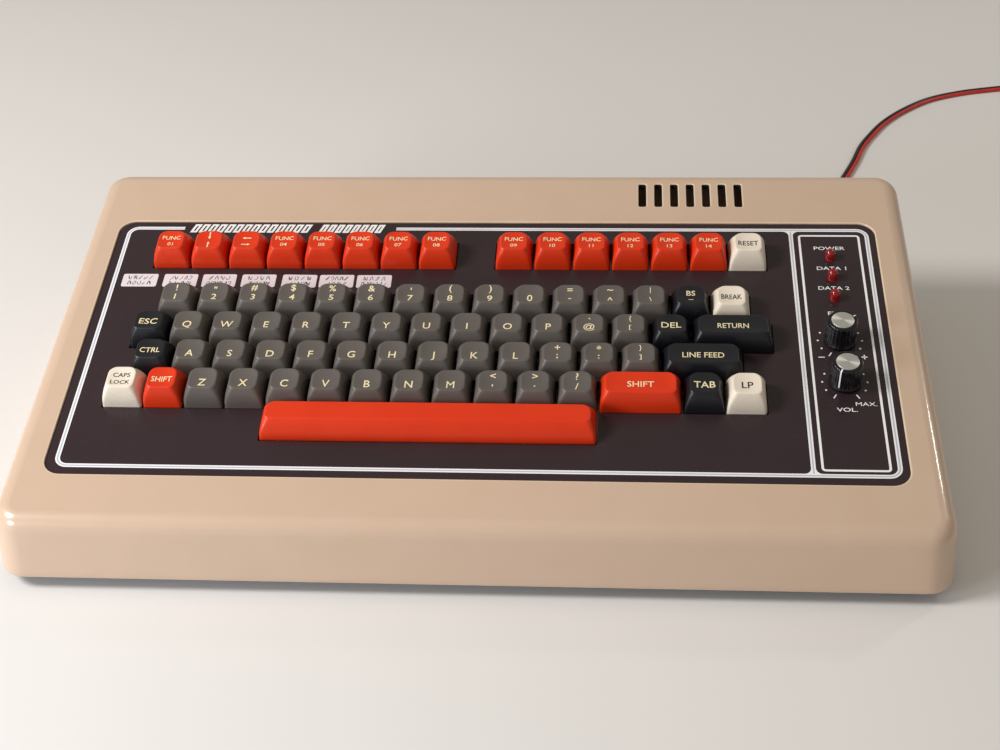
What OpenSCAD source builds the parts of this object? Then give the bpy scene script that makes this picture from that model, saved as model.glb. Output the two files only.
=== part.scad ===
// Desk-top communications terminal of the early 1980s: a sloping console with a 75-key keyboard,
// three lamps, two knobs, a rear connector bay and a two-core supply lead.
// Axes: X to the right, Y to the rear, Z up from the table. The slope is also described in the plane
// of the panel: x across from the middle, v up the slope from its front edge, w out of the panel.

/* [Case] */
// Width of the case beside the panel, at its lower edge
case_side = 18.7; // [16:0.1:24]
// Length of the slope in front of the panel
front_deck = 29.4; // [26:0.2:34]
// Length of the slope behind the panel, with the vents
rear_deck = 40.84; // [38:0.02:46]
// Height of the front edge of the slope above the table
front_h = 36; // [33:0.5:42]
// Height of the lower edge of the shell above the table
shell_z = 6.5; // [6:0.1:8]
// Slope of the top, degrees
tilt = 11; // [9:0.5:12]
// Mould draft of the front and rear walls, degrees
draft = 2; // [1:0.5:3]
// Mould draft of the side walls, degrees
side_draft = 2.4; // [1:0.2:4]
// Thickness of the moulded shell
wall = 3; // [2.5:0.1:3.5]
// Plan radius of the front corners
front_corner_r = 13; // [12:1:16]
// Plan radius of the rear corners
rear_corner_r = 12; // [10:1:16]
// Radius where the top turns into the walls
edge_r = 8; // [7:0.5:10]

/* [Panel] */
// Panel beside the keys, at the left
panel_left = 18.05; // [15:0.05:22]
// Panel between the keys and the divider line
panel_divider = 12.84; // [11:0.04:16]
// Distance of the lamps and knobs from the divider line
control_in = 17.95; // [16:0.05:22]
// Distance of the panel's right edge from the lamps and knobs
panel_right = 23.2; // [20:0.1:28]
// Panel in front of the space bar
panel_front = 21.45; // [18:0.05:26]
// Panel behind the function keys
panel_rear = 14.95; // [12:0.05:18]
// Corner radius of the panel
panel_r = 8.5; // [7:0.5:10]
// Thickness of the panel
panel_t = 2; // [1.6:0.1:2.4]
// Depth of the panel face below the face of the case
panel_sink = 0.8; // [0.6:0.1:1.2]
// Width of the ledge that carries the panel
ledge_w = 4; // [3:0.5:5]
// Thickness of that ledge
ledge_t = 2; // [1.5:0.5:3]
// Gap round the panel in its rebate
panel_gap = 0.2; // [0.1:0.05:0.3]

/* [Key layout] */
// Pitch of the keys
unit = 19.05; // [19:0.01:19.1]
// Gap between the digit row and the function row
function_gap = 17.8; // [16:0.1:22]
// Left edge of the function row, in key units
function_start = 0.25; // [0.25:0.25:0.5]
// Keys in the left function group
function_left = 8; // [6:1:8]
// Left edge of the right function group, in key units
function_right_start = 9.25; // [9.25:0.25:9.25]
// Gap between a key opening and the caps in it
opening_gap = 0.7; // [0.5:0.1:0.9]

/* [Key caps] */
// Gap between neighbouring caps at their lower edges
cap_gap = 1.05; // [0.9:0.05:1.2]
// Depth of the caps' lower edges below the panel face
cap_sink = 1; // [0.6:0.1:1.4]
// Slope of the cap sides, as inset over the full height
cap_side_in = 3.15; // [2.6:0.05:3.6]
// Inset of the cap front at its top edge
cap_front_in = 3; // [2.5:0.1:3.6]
// Inset of the cap rear at its top edge
cap_rear_in = 3; // [2.5:0.1:3.6]
// Depth of the finger dish
dish_depth = 0.55; // [0.3:0.05:0.8]
// Radius of the finger dish
dish_r = 34; // [28:1:45]
// Wall of a cap
cap_wall = 1.4; // [1.2:0.1:1.6]
// Travel of a key
key_travel = 3.8; // [3.4:0.1:4]
// Width of the space bar, in key units
bar_units = 8; // [8:0.5:8]
// Left edge of the space bar, in key units
bar_start = 4; // [4:0.5:4]
// Inset of the space bar's front at its top edge
bar_front_in = 5; // [4:0.5:6]
// Radius of the rounded front of the space bar
bar_front_r = 20; // [18:1:26]

/* [Cap heights] */
// Front edge of the cap tops in the function row
function_front_h = 10.8; // [10:0.1:12]
// Rear edge of the cap tops in the function row
function_rear_h = 11; // [10:0.1:12]
// Front edge in the digit row
digit_front_h = 10.1; // [9.5:0.1:11.5]
// Rear edge in the digit row
digit_rear_h = 10.3; // [9.5:0.1:11.5]
// Front edge in the upper letter row
upper_front_h = 10.5; // [9.5:0.1:11.5]
// Rear edge in the upper letter row
upper_rear_h = 9.6; // [9:0.1:11]
// Front edge in the home row
home_front_h = 10.3; // [9.5:0.1:11.5]
// Rear edge in the home row
home_rear_h = 9.9; // [9:0.1:11]
// Front edge in the lower letter row
lower_front_h = 10.5; // [9.5:0.1:11.5]
// Rear edge in the lower letter row
lower_rear_h = 10.8; // [9.5:0.1:11.5]
// Front edge of the space bar's top
bar_front_h = 9.5; // [8.5:0.1:10.5]
// Rear edge of the space bar's top
bar_rear_h = 9.3; // [8.5:0.1:10.5]
// Lower edge of the space bar's rear skirt, above the panel face
bar_rear_low = 1.2; // [1:0.1:2]

/* [Key switches] */
// Top of the switch plate below the panel face
plate_w = 6.4; // [6.2:0.1:6.8]
// Thickness of the switch plate
plate_t = 1.5; // [1.2:0.1:1.6]
// Side of the switch body below the plate
switch_side = 13.8; // [13.6:0.1:14]
// Side of the switch flange on the plate
flange_side = 15.6; // [15:0.1:16]
// Side of the switch body above the plate
switch_top_side = 12.6; // [12:0.1:13]
// Height of the switch body above the plate
switch_top_h = 2.8; // [2.6:0.1:2.9]
// Depth of the switch body below the top of the plate
switch_depth = 5.6; // [5.4:0.1:6]
// Side of the plunger
plunger_side = 5.6; // [5.2:0.1:5.8]
// Running gap on each side of a plunger
plunger_gap = 0.25; // [0.2:0.05:0.35]

/* [Controls] */
// Distance of the first lamp from the rear edge of the panel
lamp_from_rear = 24.5; // [22:0.1:27]
// Pitch of the three lamps
lamp_pitch = 14.2; // [13.5:0.1:15]
// Diameter of a lamp
lamp_d = 5; // [4.8:0.1:5.2]
// Height of a lamp above the panel
lamp_h = 6.4; // [5:0.2:7]
// Distance of the fine-tuning knob from the rear edge of the panel
fine_from_rear = 81.1; // [78:0.1:84]
// Distance of the volume knob from the fine-tuning knob
knob_pitch = 26.4; // [24:0.2:30]
// Diameter of a knob
knob_d = 15; // [14:0.2:15.6]
// Height of a knob
knob_h = 13; // [12:0.2:14]
// Gap between a knob and the panel
knob_gap = 0.6; // [0.5:0.1:1]
// Diameter of the bright disc on a knob
disc_d = 10.4; // [9:0.2:11]
// Diameter of a control shaft
shaft_d = 6; // [5.8:0.1:6.1]

/* [Vents] */
// Number of slots in the rear deck
vents = 7; // [5:1:8]
// Width of a slot
vent_w = 3.9; // [3.4:0.1:3.9]
// Length of a slot
vent_l = 17.6; // [15:0.2:18]
// Pitch of the slots
vent_pitch = 8.1; // [7.6:0.1:8.4]
// Distance of the middle slot from the line of the lamps
vent_in = 67; // [60:0.2:72]
// Gap between the slots and the panel
vent_gap = 12.8; // [11:0.2:14]

/* [Rear bay] */
// Distance of the connector bay from the sides of the case
bay_in = 27.5; // [26:0.5:36]
// Lower edge of the bay above the table
bay_z = 14; // [12:0.5:16]
// Height of the bay
bay_h = 42; // [38:1:44]
// Face of the rear panel in front of the rear edge of the case
bay_depth = 13; // [12:0.5:16]
// Wall of the bay
bay_wall = 2; // [1.6:0.2:2.4]
// Thickness of the rear panel
rear_t = 1.5; // [1.2:0.1:2]
// Height of the rear fittings above the table
fitting_z = 32; // [30:0.5:34]
// Diameter of the centre hole of a phono socket
phono_bore_d = 3.2; // [3.1:0.05:3.4]

/* [Base] */
// Height of the rubber feet
foot_h = 4; // [3:0.5:5]
// Diameter of the rubber feet
foot_d = 14; // [12:1:18]
// Thickness of the steel tray
tray_t = 1.2; // [1:0.1:1.5]
// Inset of the tray from the lower edge of the case
tray_inset = 4.2; // [3.8:0.1:5]
// Height of the tray walls
tray_wall_h = 7; // [5:0.5:7.5]
// Distance of the case screws from the sides
screw_in = 16; // [15:0.5:18]
// Shank diameter of the case screws
screw_d = 2.9; // [2.6:0.1:3]

/* [Supply lead] */
// Width of the flat two-core lead
lead_w = 4.8; // [4.6:0.1:5]
// Thickness of the lead
lead_t = 2.4; // [2.2:0.1:2.6]
// Turns of the stored coil side by side
coil_columns = 2; // [2:1:3]
// Layers of the stored coil
coil_layers = 3; // [2:1:4]
// Mean radius of the stored coil
coil_r = 27; // [26:0.5:28]

/* [Hidden] */

$fn = 48;
eps = 0.02;
far = 600;

beige = "#cfb597";
brown = "#3f3035";
red = "#dc3a1e";
grey = "#5a5753";
black = "#1d1d22";
cream = "#e6dcc0";

// Panel: its size follows from the keys in it and the margins round them.
keys_w = 16.25 * unit;
keys_d = 6 * unit + function_gap;
panel_w = panel_left + keys_w + panel_divider + control_in + panel_right;
panel_d = panel_front + keys_d + panel_rear;
panel_v = front_deck;
panel_rear_v = panel_v + panel_d;
field_x = -panel_w / 2 + panel_left;
field_v = panel_v + panel_front + unit;
control_x = panel_w / 2 - panel_right;
lamp_v = panel_rear_v - lamp_from_rear;
fine_v = panel_rear_v - fine_from_rear;
volume_v = fine_v - knob_pitch;

// Case: its size follows from the panel and the decks round it, its edges from the draft and the tilt.
lean = tan(draft);
slope_l = panel_v + panel_d + rear_deck;
case_w = panel_w + 2 * case_side;
case_d = slope_l * (cos(tilt) + lean * sin(tilt)) + 2 * lean * (front_h - shell_z);
front_y = -case_d / 2 + lean * (front_h - shell_z);

// Half width of the case where a shoulder at v meets the flat side wall.
function half_w(v) =
    case_w / 2 - tan(side_draft) * (front_h + v * sin(tilt) - edge_r * cos(tilt) - shell_z);

// Rows of keys, numbered from the space bar (0) to the function row (5).
bar_row = 0;
lower_row = 1;
home_row = 2;
upper_row = 3;
digit_row = 4;
function_row = 5;
cap_d = unit - cap_gap;
digit_start = 0.75;
upper_start = 0.25;
home_start = 0.5;
lower_start = 0;
function_right_count = 6;
reset_start = function_right_start + function_right_count;
digit_count = 13;
letter_count = 12;
lower_count = 10;
wide = 2;

// Heights of the cap tops by row, in that order.
cap_front_h = [bar_front_h, lower_front_h, home_front_h, upper_front_h, digit_front_h, function_front_h];
cap_rear_h = [bar_rear_h, lower_rear_h, home_rear_h, upper_rear_h, digit_rear_h, function_rear_h];

function row_v(row) = field_v + (row - lower_row) * unit + (row == function_row ? function_gap : 0);

// Every key as its left edge in units, its row and its width in units.
function run(start, row, count) = [for (i = [0 : count - 1]) [start + i, row, 1]];
function_keys = concat(run(function_start, function_row, function_left),
                       run(function_right_start, function_row, function_right_count));
digit_bank = run(digit_start, digit_row, digit_count);
upper_bank = run(upper_start + 1, upper_row, letter_count);
home_bank = run(home_start + 1, home_row, letter_count);
lower_bank = run(lower_start + 2, lower_row, lower_count);
reset_place = [reset_start, function_row, 1];
backspace_place = [digit_start + digit_count, digit_row, 1];
break_place = [digit_start + digit_count + 1, digit_row, 1];
escape_place = [upper_start, upper_row, 1];
delete_place = [upper_start + 1 + letter_count, upper_row, 1];
return_place = [upper_start + 2 + letter_count, upper_row, wide];
control_place = [home_start, home_row, 1];
line_feed_place = [home_start + 1 + letter_count, home_row, wide];
caps_lock_place = [lower_start, lower_row, 1];
left_shift_place = [lower_start + 1, lower_row, 1];
right_shift_place = [lower_start + 2 + lower_count, lower_row, wide];
tab_place = [lower_start + 4 + lower_count, lower_row, 1];
print_place = [lower_start + 5 + lower_count, lower_row, 1];
bar_place = [bar_start, bar_row, bar_units];
all_keys = concat(function_keys, digit_bank, upper_bank, home_bank, lower_bank,
                  [reset_place, backspace_place, break_place, escape_place, delete_place,
                   return_place, control_place, line_feed_place, caps_lock_place,
                   left_shift_place, right_shift_place, tab_place, print_place, bar_place]);

// Key openings in the panel: one strip per row, as left edge, right edge and row.
openings = [
    [bar_start, bar_start + bar_units, bar_row],
    [lower_start, lower_start + 6 + lower_count, lower_row],
    [home_start, home_start + 3 + letter_count, home_row],
    [upper_start, upper_start + 4 + letter_count, upper_row],
    [digit_start, digit_start + digit_count + 2, digit_row],
    [function_start, function_start + function_left, function_row],
    [function_right_start, reset_start + 1, function_row]
];

// Switches and plungers. A plunger ends its stroke just above the floor of its switch.
cap_top_r = 6.75;
pocket_side = 3.2;
post_side = 3;
post_h = 3.7;
pocket_h = 3.9;
boss_side = 6.4;
boss_end = 0.5;
plunger_end = 7.4;
switch_floor = 0.4;
switch_well = plunger_side + 2 * plunger_gap;
board_t = 1.6;
keyboard_board_w = plate_w + switch_depth;
plate_left = 14;
plate_right = 10;
plate_front = 7;
plate_rear = 6;
keyboard_board_left = 3;
keyboard_board_right = 1;
pillar_left = 8;
pillar_right = 5.5;
plate_gap = 0.1;
flange_t = 1;

// Space bar stabiliser: a wire that turns in two clips and lifts the bar at two hooks.
wire_d = 1.5;
wire_arm = 8;
wire_reach = 58;
wire_gap = 0.2;
wire_v = row_v(lower_row) - 1.3;
wire_w = -4.5;
wire_lift = key_travel / 2;
wire_angle = asin(wire_lift / wire_arm);
hook_t = 1.6;
hook_w = 6;
hook_at = wire_reach + 2;
clip_w = 3;
clip_in = 12;
clip_top = 1.6;
bar_mid = field_x + (bar_start + bar_units / 2) * unit;

// Panel hardware.
nut_d = 11;
nut_h = 2;
bush_d = 7;
shaft_gap = 0.25;
knob_recess_d = 12.4;
knob_recess_h = 2.6;
disc_t = 0.6;
disc_sink = 0.4;
pot_d = 16;
pot_h = 8;
pot_drop = 2.2;
control_board_w = panel_t + pot_drop + pot_h;
control_board_size = [30, 24];
control_board_front = 14;
lamp_flange_d = 5.8;
knob_flutes = 24;
flute_r = 0.55;
knob_skirt = 1.6;
shaft_end = 10.5;

// Base, boards and rear fittings.
tray_z = foot_h;
floor_z = tray_z + tray_t;
boss_d = 8;
boss_tip_d = 6.6;
rear_screw_in = screw_in + 8;
foot_in = [32, 30];
form_foot_h = 1;
pillar_d = 8;
board_z = 12;
board_left = 39.5;
board_right = 75.5;
board_front = 80;
board_rear = 28;
main_board_size = [case_w - board_left - board_right, case_d - board_front - board_rear];
main_board_at = [(board_left - board_right) / 2, (board_front - board_rear) / 2];
board_screw_in = 6;
chip_w = 8;
wide_chip_w = 15;
chip_l = 20;
chip_pitch = [24, 26];
chips_from_left = 22;
chips_from_front = 15;
reservoir_d = 12.5;
reservoir_h = 22;
reservoir_pitch = 20;
reservoirs_from_right = 72;
sink_size = [68, 22, 26];
sink_fins = 9;
sink_from_rear = 9;
rear_y = case_d / 2 - bay_depth;
bay_w = case_w - 2 * bay_in;
rear_panel_over = 4;
rear_panel_h = bay_z + bay_h + bay_wall + rear_panel_over - floor_z;
rocker_in = 34;
fuse_after_rocker = 36;
phono_after_fuse = 34;
phono_pitch = 20;
phono_count = 6;
printer_after_phono = 56;
grommet_in = 18;
rocker_x = -bay_w / 2 + rocker_in;
fuse_x = rocker_x + fuse_after_rocker;
phono_first = fuse_x + phono_after_fuse;
printer_x = phono_first + (phono_count - 1) * phono_pitch + printer_after_phono;
grommet_x = bay_w / 2 - grommet_in;
barrel_d = 8.2;
collar_d = 13;
phono_out = 9.5;
phono_back = 9;
grommet_neck_d = 9;
rear_bore_gap = 0.2;
rear_fold = 10;
printer_flange = [54, 13];
printer_shell = [39.6, 9.6];
printer_before = 6;
printer_behind = 8;
rocker_w = 9;
rocker_l = 17;
rocker_t = 5.5;
rocker_swing = 16;
rocker_gap = 0.4;
rocker_pin_d = 2;
bezel_t = 1.6;
speaker_d = 57;
speaker_at = [case_w / 2 - tray_inset - tray_t - speaker_d / 2 - 1.6, 6];

// Supply lead: its way from the strain relief to the coil, as distances to the right of and behind its
// exit and the share of the exit's height. All points are chosen by hand.
lead_way = [
    [0, 0, 1], [0, 5, 1], [0.5, 11, 0.967], [1, 17, 0.886], [2, 24, 0.739], [3, 31, 0.544],
    [4.5, 39, 0.349], [7, 48, 0.186], [10, 58, 0.072], [14, 69, 0.007], [19, 83, 0], [26, 99, 0],
    [34, 117, 0], [43, 135, 0], [51, 155, 0], [58, 175, 0], [66, 192, 0], [76, 209, 0],
    [89, 226, 0], [106, 241, 0], [126, 253, 0], [146, 261, 0], [166, 265, 0], [188, 266, 0],
    [211, 266, 0]
];
lead_low = lead_t / 2 + 0.1;
lead_exit = [grommet_x, rear_y + 15, fitting_z];
lead_points = [for (p = lead_way) lead_exit + [p[0], p[1], (p[2] - 1) * (fitting_z - lead_low)]];
coil_h = coil_layers * lead_t;
coil_at = [lead_points[len(lead_points) - 1].x, lead_points[len(lead_points) - 1].y - coil_r];
plug_w = 12;
plug_l = 26;
plug_t = 7;

// Places its children in the plane of the slope: x, v and w as described at the top.
module on_slope() {
    translate([0, front_y, front_h])
        rotate([tilt, 0, 0])
            children();
}

// Turns its children back from the slope's frame to the level one.
module level() {
    rotate([-tilt, 0, 0])
        translate([0, -front_y, -front_h])
            children();
}

// Places its children in the plane of the brown panel's face.
module on_panel() {
    on_slope()
        translate([0, 0, -panel_sink])
            children();
}

// Flat rectangle with rounded corners, centred on x, from v = 0.
module rounded_plate(w, d, r) {
    translate([-w / 2 + r, 0])
        square([w - 2 * r, d]);
    translate([-w / 2, r])
        square([w, d - 2 * r]);
    for (x = [-w / 2 + r, w / 2 - r], v = [r, d - r])
        translate([x, v])
            circle(r);
}

// Closed outer form of the case, drawn in by a wall's thickness where it is asked for.
module case_form(inset) {
    on_slope()
        hull()
            for (side = [-1, 1]) {
                case_post(side, inset, front_corner_r, 0, -1);
                case_post(side, inset, rear_corner_r, slope_l, 1);
            }
}

// One corner of that form, in the slope's frame: a rounded shoulder, and a level disc below the lower edge,
// where the form is cut off later.
module case_post(side, inset, corner_r, v, rear) {
    r = max(edge_r - inset, 1.5);
    corner = max(corner_r - inset, r + 0.1);
    reach = inset + corner;
    translate([side * (half_w(v - rear * corner_r) - reach), v - rear * reach, -inset - r])
        rotate_extrude($fn = 32)
            translate([corner - r, 0])
                intersection() {
                    circle(r, $fn = 32);
                    translate([-(corner - r), 0])
                        square([corner, r]);
                }
    level()
        translate([side * (case_w / 2 - reach), rear * (case_d / 2 - reach), shell_z - 2 * form_foot_h])
            cylinder(h = form_foot_h, r = corner, $fn = 32);
}

module upper_case() {
    color(beige)
    difference() {
        union() {
            difference() {
                case_form(0);
                difference() {
                    case_form(wall);
                    screw_bosses(boss_d, far / 6);
                }
                translate([-far / 2, -far / 2, shell_z - far])
                    cube(far);
            }
            panel_ledge();
            bay_walls();
            screw_bosses(boss_tip_d, shell_z + 2 - floor_z);
        }
        on_panel()
            translate([0, panel_v, -panel_t])
                linear_extrude(panel_t + panel_sink + 1)
                    rounded_plate(panel_w + 2 * panel_gap, panel_d + 2 * panel_gap, panel_r);
        on_panel()
            translate([0, panel_v + ledge_w, -panel_t - far / 10])
                linear_extrude(far / 10 + 1)
                    rounded_plate(panel_w - 2 * ledge_w, panel_d - 2 * ledge_w, panel_r - ledge_w);
        vent_slots();
        translate([-bay_w / 2, rear_y, bay_z])
            cube([bay_w, bay_depth + 1, bay_h]);
        for (p = case_screw_places())
            translate([p.x, p.y, 0])
                cylinder(h = floor_z + 14, d = screw_d + 0.1);
    }
}

// Ledge under the panel, as thick as the panel lies deep and wide enough to seat it.
module panel_ledge() {
    on_panel()
        translate([0, panel_v - ledge_w / 2, -panel_t - ledge_t])
            linear_extrude(panel_t + ledge_t)
                rounded_plate(panel_w + ledge_w, panel_d + ledge_w, panel_r);
}

// Walls of the connector bay, from the rear panel to the middle of the rear wall.
module bay_walls() {
    rear_inset = lean * (bay_z + bay_h / 2 - shell_z) + wall / 2;
    translate([-bay_w / 2 - bay_wall, rear_y, bay_z - bay_wall])
        cube([bay_w + 2 * bay_wall, bay_depth - rear_inset, bay_h + 2 * bay_wall]);
}

function case_screw_places() = [
    for (x = [-case_w / 2 + screw_in, 0, case_w / 2 - screw_in]) [x, -case_d / 2 + screw_in],
    for (x = [-case_w / 2 + screw_in, case_w / 2 - screw_in]) [x, case_d / 2 - rear_screw_in]
];

// Bosses for the case screws, standing on the tray. The long ones are left when the case is hollowed out.
module screw_bosses(d, h) {
    for (p = case_screw_places())
        translate([p.x, p.y, floor_z])
            cylinder(h = h, d = d);
}

module vent_slots() {
    first = control_x - vent_in - (vents - 1) * vent_pitch / 2;
    on_slope()
        for (i = [0 : vents - 1])
            translate([first + i * vent_pitch, panel_rear_v + vent_gap, -wall - 2])
                linear_extrude(wall + 4)
                    rounded_plate(vent_w, vent_l, vent_w / 4);
}

// Steel tray that closes the case from below, with a rim, speaker holes and screw holes.
module base_tray() {
    color("#2a2b33")
    difference() {
        translate([0, 0, tray_z])
            linear_extrude(tray_wall_h)
                tray_outline(tray_inset);
        translate([0, 0, floor_z])
            linear_extrude(tray_wall_h)
                tray_outline(tray_inset + tray_t);
        for (p = case_screw_places())
            translate([p.x, p.y, tray_z - 1])
                cylinder(h = tray_t + 2, d = screw_d + 0.4);
        for (a = [0 : 60 : 300], k = [1, 2])
            translate([speaker_at.x, speaker_at.y, tray_z - 1])
                rotate(a + 30 * k)
                    translate([speaker_d / 6 * k, 0])
                        cylinder(h = tray_t + 2, d = speaker_d / 16);
    }
}

// Lower outline of the case, drawn in by the given distance.
module tray_outline(inset) {
    hull()
        for (side = [-1, 1], end = [[-1, front_corner_r], [1, rear_corner_r]])
            translate([side * (case_w / 2 - end[1]), end[0] * (case_d / 2 - end[1])])
                circle(end[1] - inset);
}

// Brown panel with the key openings, the lamp holes and the two shaft holes.
module front_panel() {
    color(brown)
    on_panel()
    difference() {
        translate([0, panel_v + panel_gap, -panel_t])
            linear_extrude(panel_t)
                rounded_plate(panel_w, panel_d, panel_r);
        for (o = openings)
            key_opening(o);
        for (i = [0 : 2])
            translate([control_x, lamp_v - i * lamp_pitch, -panel_t - 1])
                cylinder(h = panel_t + 2, d = lamp_d + 0.3);
        for (v = [fine_v, volume_v])
            translate([control_x, v, -panel_t - 1])
                cylinder(h = panel_t + 2, d = bush_d + 0.2);
    }
}

module key_opening(o) {
    grow = opening_gap - cap_gap / 2;
    translate([field_x + o[0] * unit - grow, row_v(o[2]) - grow, -panel_t - 1])
        cube([(o[1] - o[0]) * unit + 2 * grow, unit + 2 * grow, panel_t + 2]);
}

// Moulded cap, drawn from its own lower left corner at the height of the panel face.
module cap(w, row) {
    front_h_cap = cap_front_h[row];
    rear_h_cap = cap_rear_h[row];
    mid_h = (front_h_cap + rear_h_cap) / 2;
    difference() {
        intersection() {
            cap_across(w, mid_h, 0);
            cap_along(w, front_h_cap, rear_h_cap, 0);
            cap_corners(w, mid_h);
        }
        finger_dish(w, mid_h);
        intersection() {
            cap_across(w, mid_h, cap_wall);
            cap_along(w, front_h_cap, rear_h_cap, cap_wall);
            translate([0, 0, -cap_sink - 1])
                cube([w, cap_d, mid_h - 2 * cap_wall + cap_sink + 1]);
        }
    }
    cap_boss(w, mid_h - 2 * cap_wall + eps);
}

// Outline of a cap seen from the front, as deep as the cap.
module cap_across(w, h, inset) {
    slope = cap_side_in / h;
    top = h + 2;
    low = -cap_sink - (inset > 0 ? 1 : 0);
    translate([0, cap_d, 0])
        rotate([90, 0, 0])
            linear_extrude(cap_d)
                polygon([
                    [inset + slope * low, low],
                    [w - inset - slope * low, low],
                    [w - inset - slope * top, top],
                    [inset + slope * top, top]
                ]);
}

// Outline of a cap seen from the side, as wide as the cap, with the sloping top.
module cap_along(w, hf, hr, inset) {
    low = -cap_sink - (inset > 0 ? 1 : 0);
    front_slope = cap_front_in / hf;
    rear_slope = cap_rear_in / hr;
    rotate([90, 0, 90])
        linear_extrude(w)
            polygon([
                [inset + front_slope * low, low],
                [cap_d - inset - rear_slope * low, low],
                [cap_d - inset - cap_rear_in, hr],
                [inset + cap_front_in, hf]
            ]);
}

// Cones that leave a cap's lower corners sharp and round its upper corners off.
module cap_corners(w, h) {
    half = cap_d / 2;
    low_r = half * sqrt(2) + 0.4;
    for (x = [half, w - half])
        translate([x, half, -cap_sink - 0.1])
            cylinder(h = h + cap_sink + 1, r1 = low_r, r2 = cap_top_r);
    if (w > cap_d + 1)
        translate([half, -1, -cap_sink - 0.1])
            cube([w - cap_d, cap_d + 2, h + cap_sink + 2]);
}

// Finger dish: a ball over a single key, a roller over a wide one.
module finger_dish(w, h) {
    translate([w / 2, cap_d / 2, h + dish_r - dish_depth])
        if (w > cap_d + 1)
            rotate([0, 90, 0])
                cylinder(h = w + 2, r = dish_r, center = true, $fn = 96);
        else
            sphere(dish_r, $fn = 96);
}

// Square boss inside a cap, with the pocket that takes the plunger's post.
module cap_boss(w, roof) {
    translate([w / 2, cap_d / 2, 0])
        difference() {
            translate([-boss_side / 2, -boss_side / 2, boss_end])
                cube([boss_side, boss_side, roof - boss_end]);
            translate([-pocket_side / 2, -pocket_side / 2, boss_end - 1])
                cube([pocket_side, pocket_side, pocket_h + 1]);
        }
}

// Plunger of a switch: a square slide with a post that the cap is pressed on.
module plunger(w) {
    translate([w / 2, cap_d / 2, 0]) {
        translate([-plunger_side / 2, -plunger_side / 2, -plunger_end])
            cube([plunger_side, plunger_side, plunger_end + boss_end]);
        translate([-post_side / 2, -post_side / 2, boss_end - eps])
            cube([post_side, post_side, post_h + eps]);
    }
}

// A key in its place: place is its left edge in units, its row and its width in units.
module key(place, colour) {
    w = place[2] * unit - cap_gap;
    on_panel()
        translate([field_x + place[0] * unit + cap_gap / 2, row_v(place[1]) + cap_gap / 2, 0]) {
            color(colour)
                cap(w, place[1]);
            color(black)
                plunger(w);
        }
}

module bank(places, colour) {
    for (p = places)
        key(p, colour);
}

// Centre of the circle of radius r that passes through a and b, on the right of the way from a to b.
function arc_centre(a, b, r) =
    let (d = b - a, l = norm(d), h = sqrt(r * r - l * l / 4))
    (a + b) / 2 + h * [d.y, -d.x] / l;

// Space bar: a long cap with a rounded front and two hooks for its wire.
module space_bar() {
    w = bar_units * unit - cap_gap;
    on_panel()
        translate([field_x + bar_start * unit + cap_gap / 2, row_v(bar_row) + cap_gap / 2, 0]) {
            color(red) {
                difference() {
                    intersection() {
                        cap_across(w, bar_front_h, 0);
                        bar_along(w, 0);
                        cap_corners(w, bar_front_h);
                    }
                    intersection() {
                        cap_across(w, bar_front_h, cap_wall);
                        bar_along(w, cap_wall);
                    }
                }
                cap_boss(w, bar_front_h - cap_wall / 2);
                for (side = [-1, 1])
                    bar_hook(w, side);
            }
            color(black)
                plunger(w);
        }
}

module bar_along(w, inset) {
    low = -cap_sink - (inset > 0 ? 1 : 0);
    hf = bar_front_h;
    hr = bar_rear_h;
    centre = arc_centre([0, -cap_sink], [bar_front_in, hf], bar_front_r);
    rotate([90, 0, 90])
        linear_extrude(w)
            intersection() {
                polygon([
                    [-2, low],
                    [cap_d - cap_wall - 1, low],
                    [cap_d - cap_wall - 1, inset > 0 ? low : bar_rear_low],
                    [cap_d - inset, inset > 0 ? low : bar_rear_low],
                    [cap_d - inset - cap_rear_in, hr - inset],
                    [bar_front_in, hf - inset],
                    [-2, hf - inset]
                ]);
                union() {
                    translate(centre)
                        circle(bar_front_r - inset, $fn = 96);
                    translate([cap_d / 2, low])
                        square([cap_d, hf + cap_sink + 2]);
                }
            }
}

// Hook under the space bar: a tab with a slot for the end of the wire.
module bar_hook(w, side) {
    tip_v = wire_v - wire_arm * cos(wire_angle) - row_v(bar_row) - cap_gap / 2;
    tip_w = wire_w + wire_lift;
    slot = wire_d + 2 * wire_gap;
    translate([w / 2 + side * hook_at - hook_t / 2, tip_v - hook_w / 2, tip_w])
        difference() {
            translate([0, 0, -slot])
                cube([hook_t, hook_w, bar_front_h - cap_wall / 2 - tip_w + slot]);
            translate([-1, hook_w / 2 - slot * 0.7, -slot / 2])
                cube([hook_t + 2, slot * 1.4, slot]);
        }
}

// Stabiliser wire: a long rod with two arms whose ends turn outwards into the bar's hooks.
module space_bar_wire() {
    color("#b9bcc0")
    on_panel()
        translate([bar_mid, wire_v, wire_w]) {
            rotate([0, 90, 0])
                cylinder(h = 2 * wire_reach, d = wire_d, center = true, $fn = 24);
            for (side = [-1, 1])
                translate([side * wire_reach, 0, 0])
                    rotate([-wire_angle, 0, 0]) {
                        sphere(d = wire_d, $fn = 24);
                        rotate([90, 0, 0])
                            cylinder(h = wire_arm, d = wire_d, $fn = 24);
                        translate([0, -wire_arm, 0]) {
                            sphere(d = wire_d, $fn = 24);
                            rotate([0, side * 90, 0])
                                cylinder(h = 4, d = wire_d, $fn = 24);
                        }
                    }
        }
}

function key_x(place) = field_x + (place[0] + place[2] / 2) * unit;
function key_v(place) = row_v(place[1]) + unit / 2;

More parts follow.
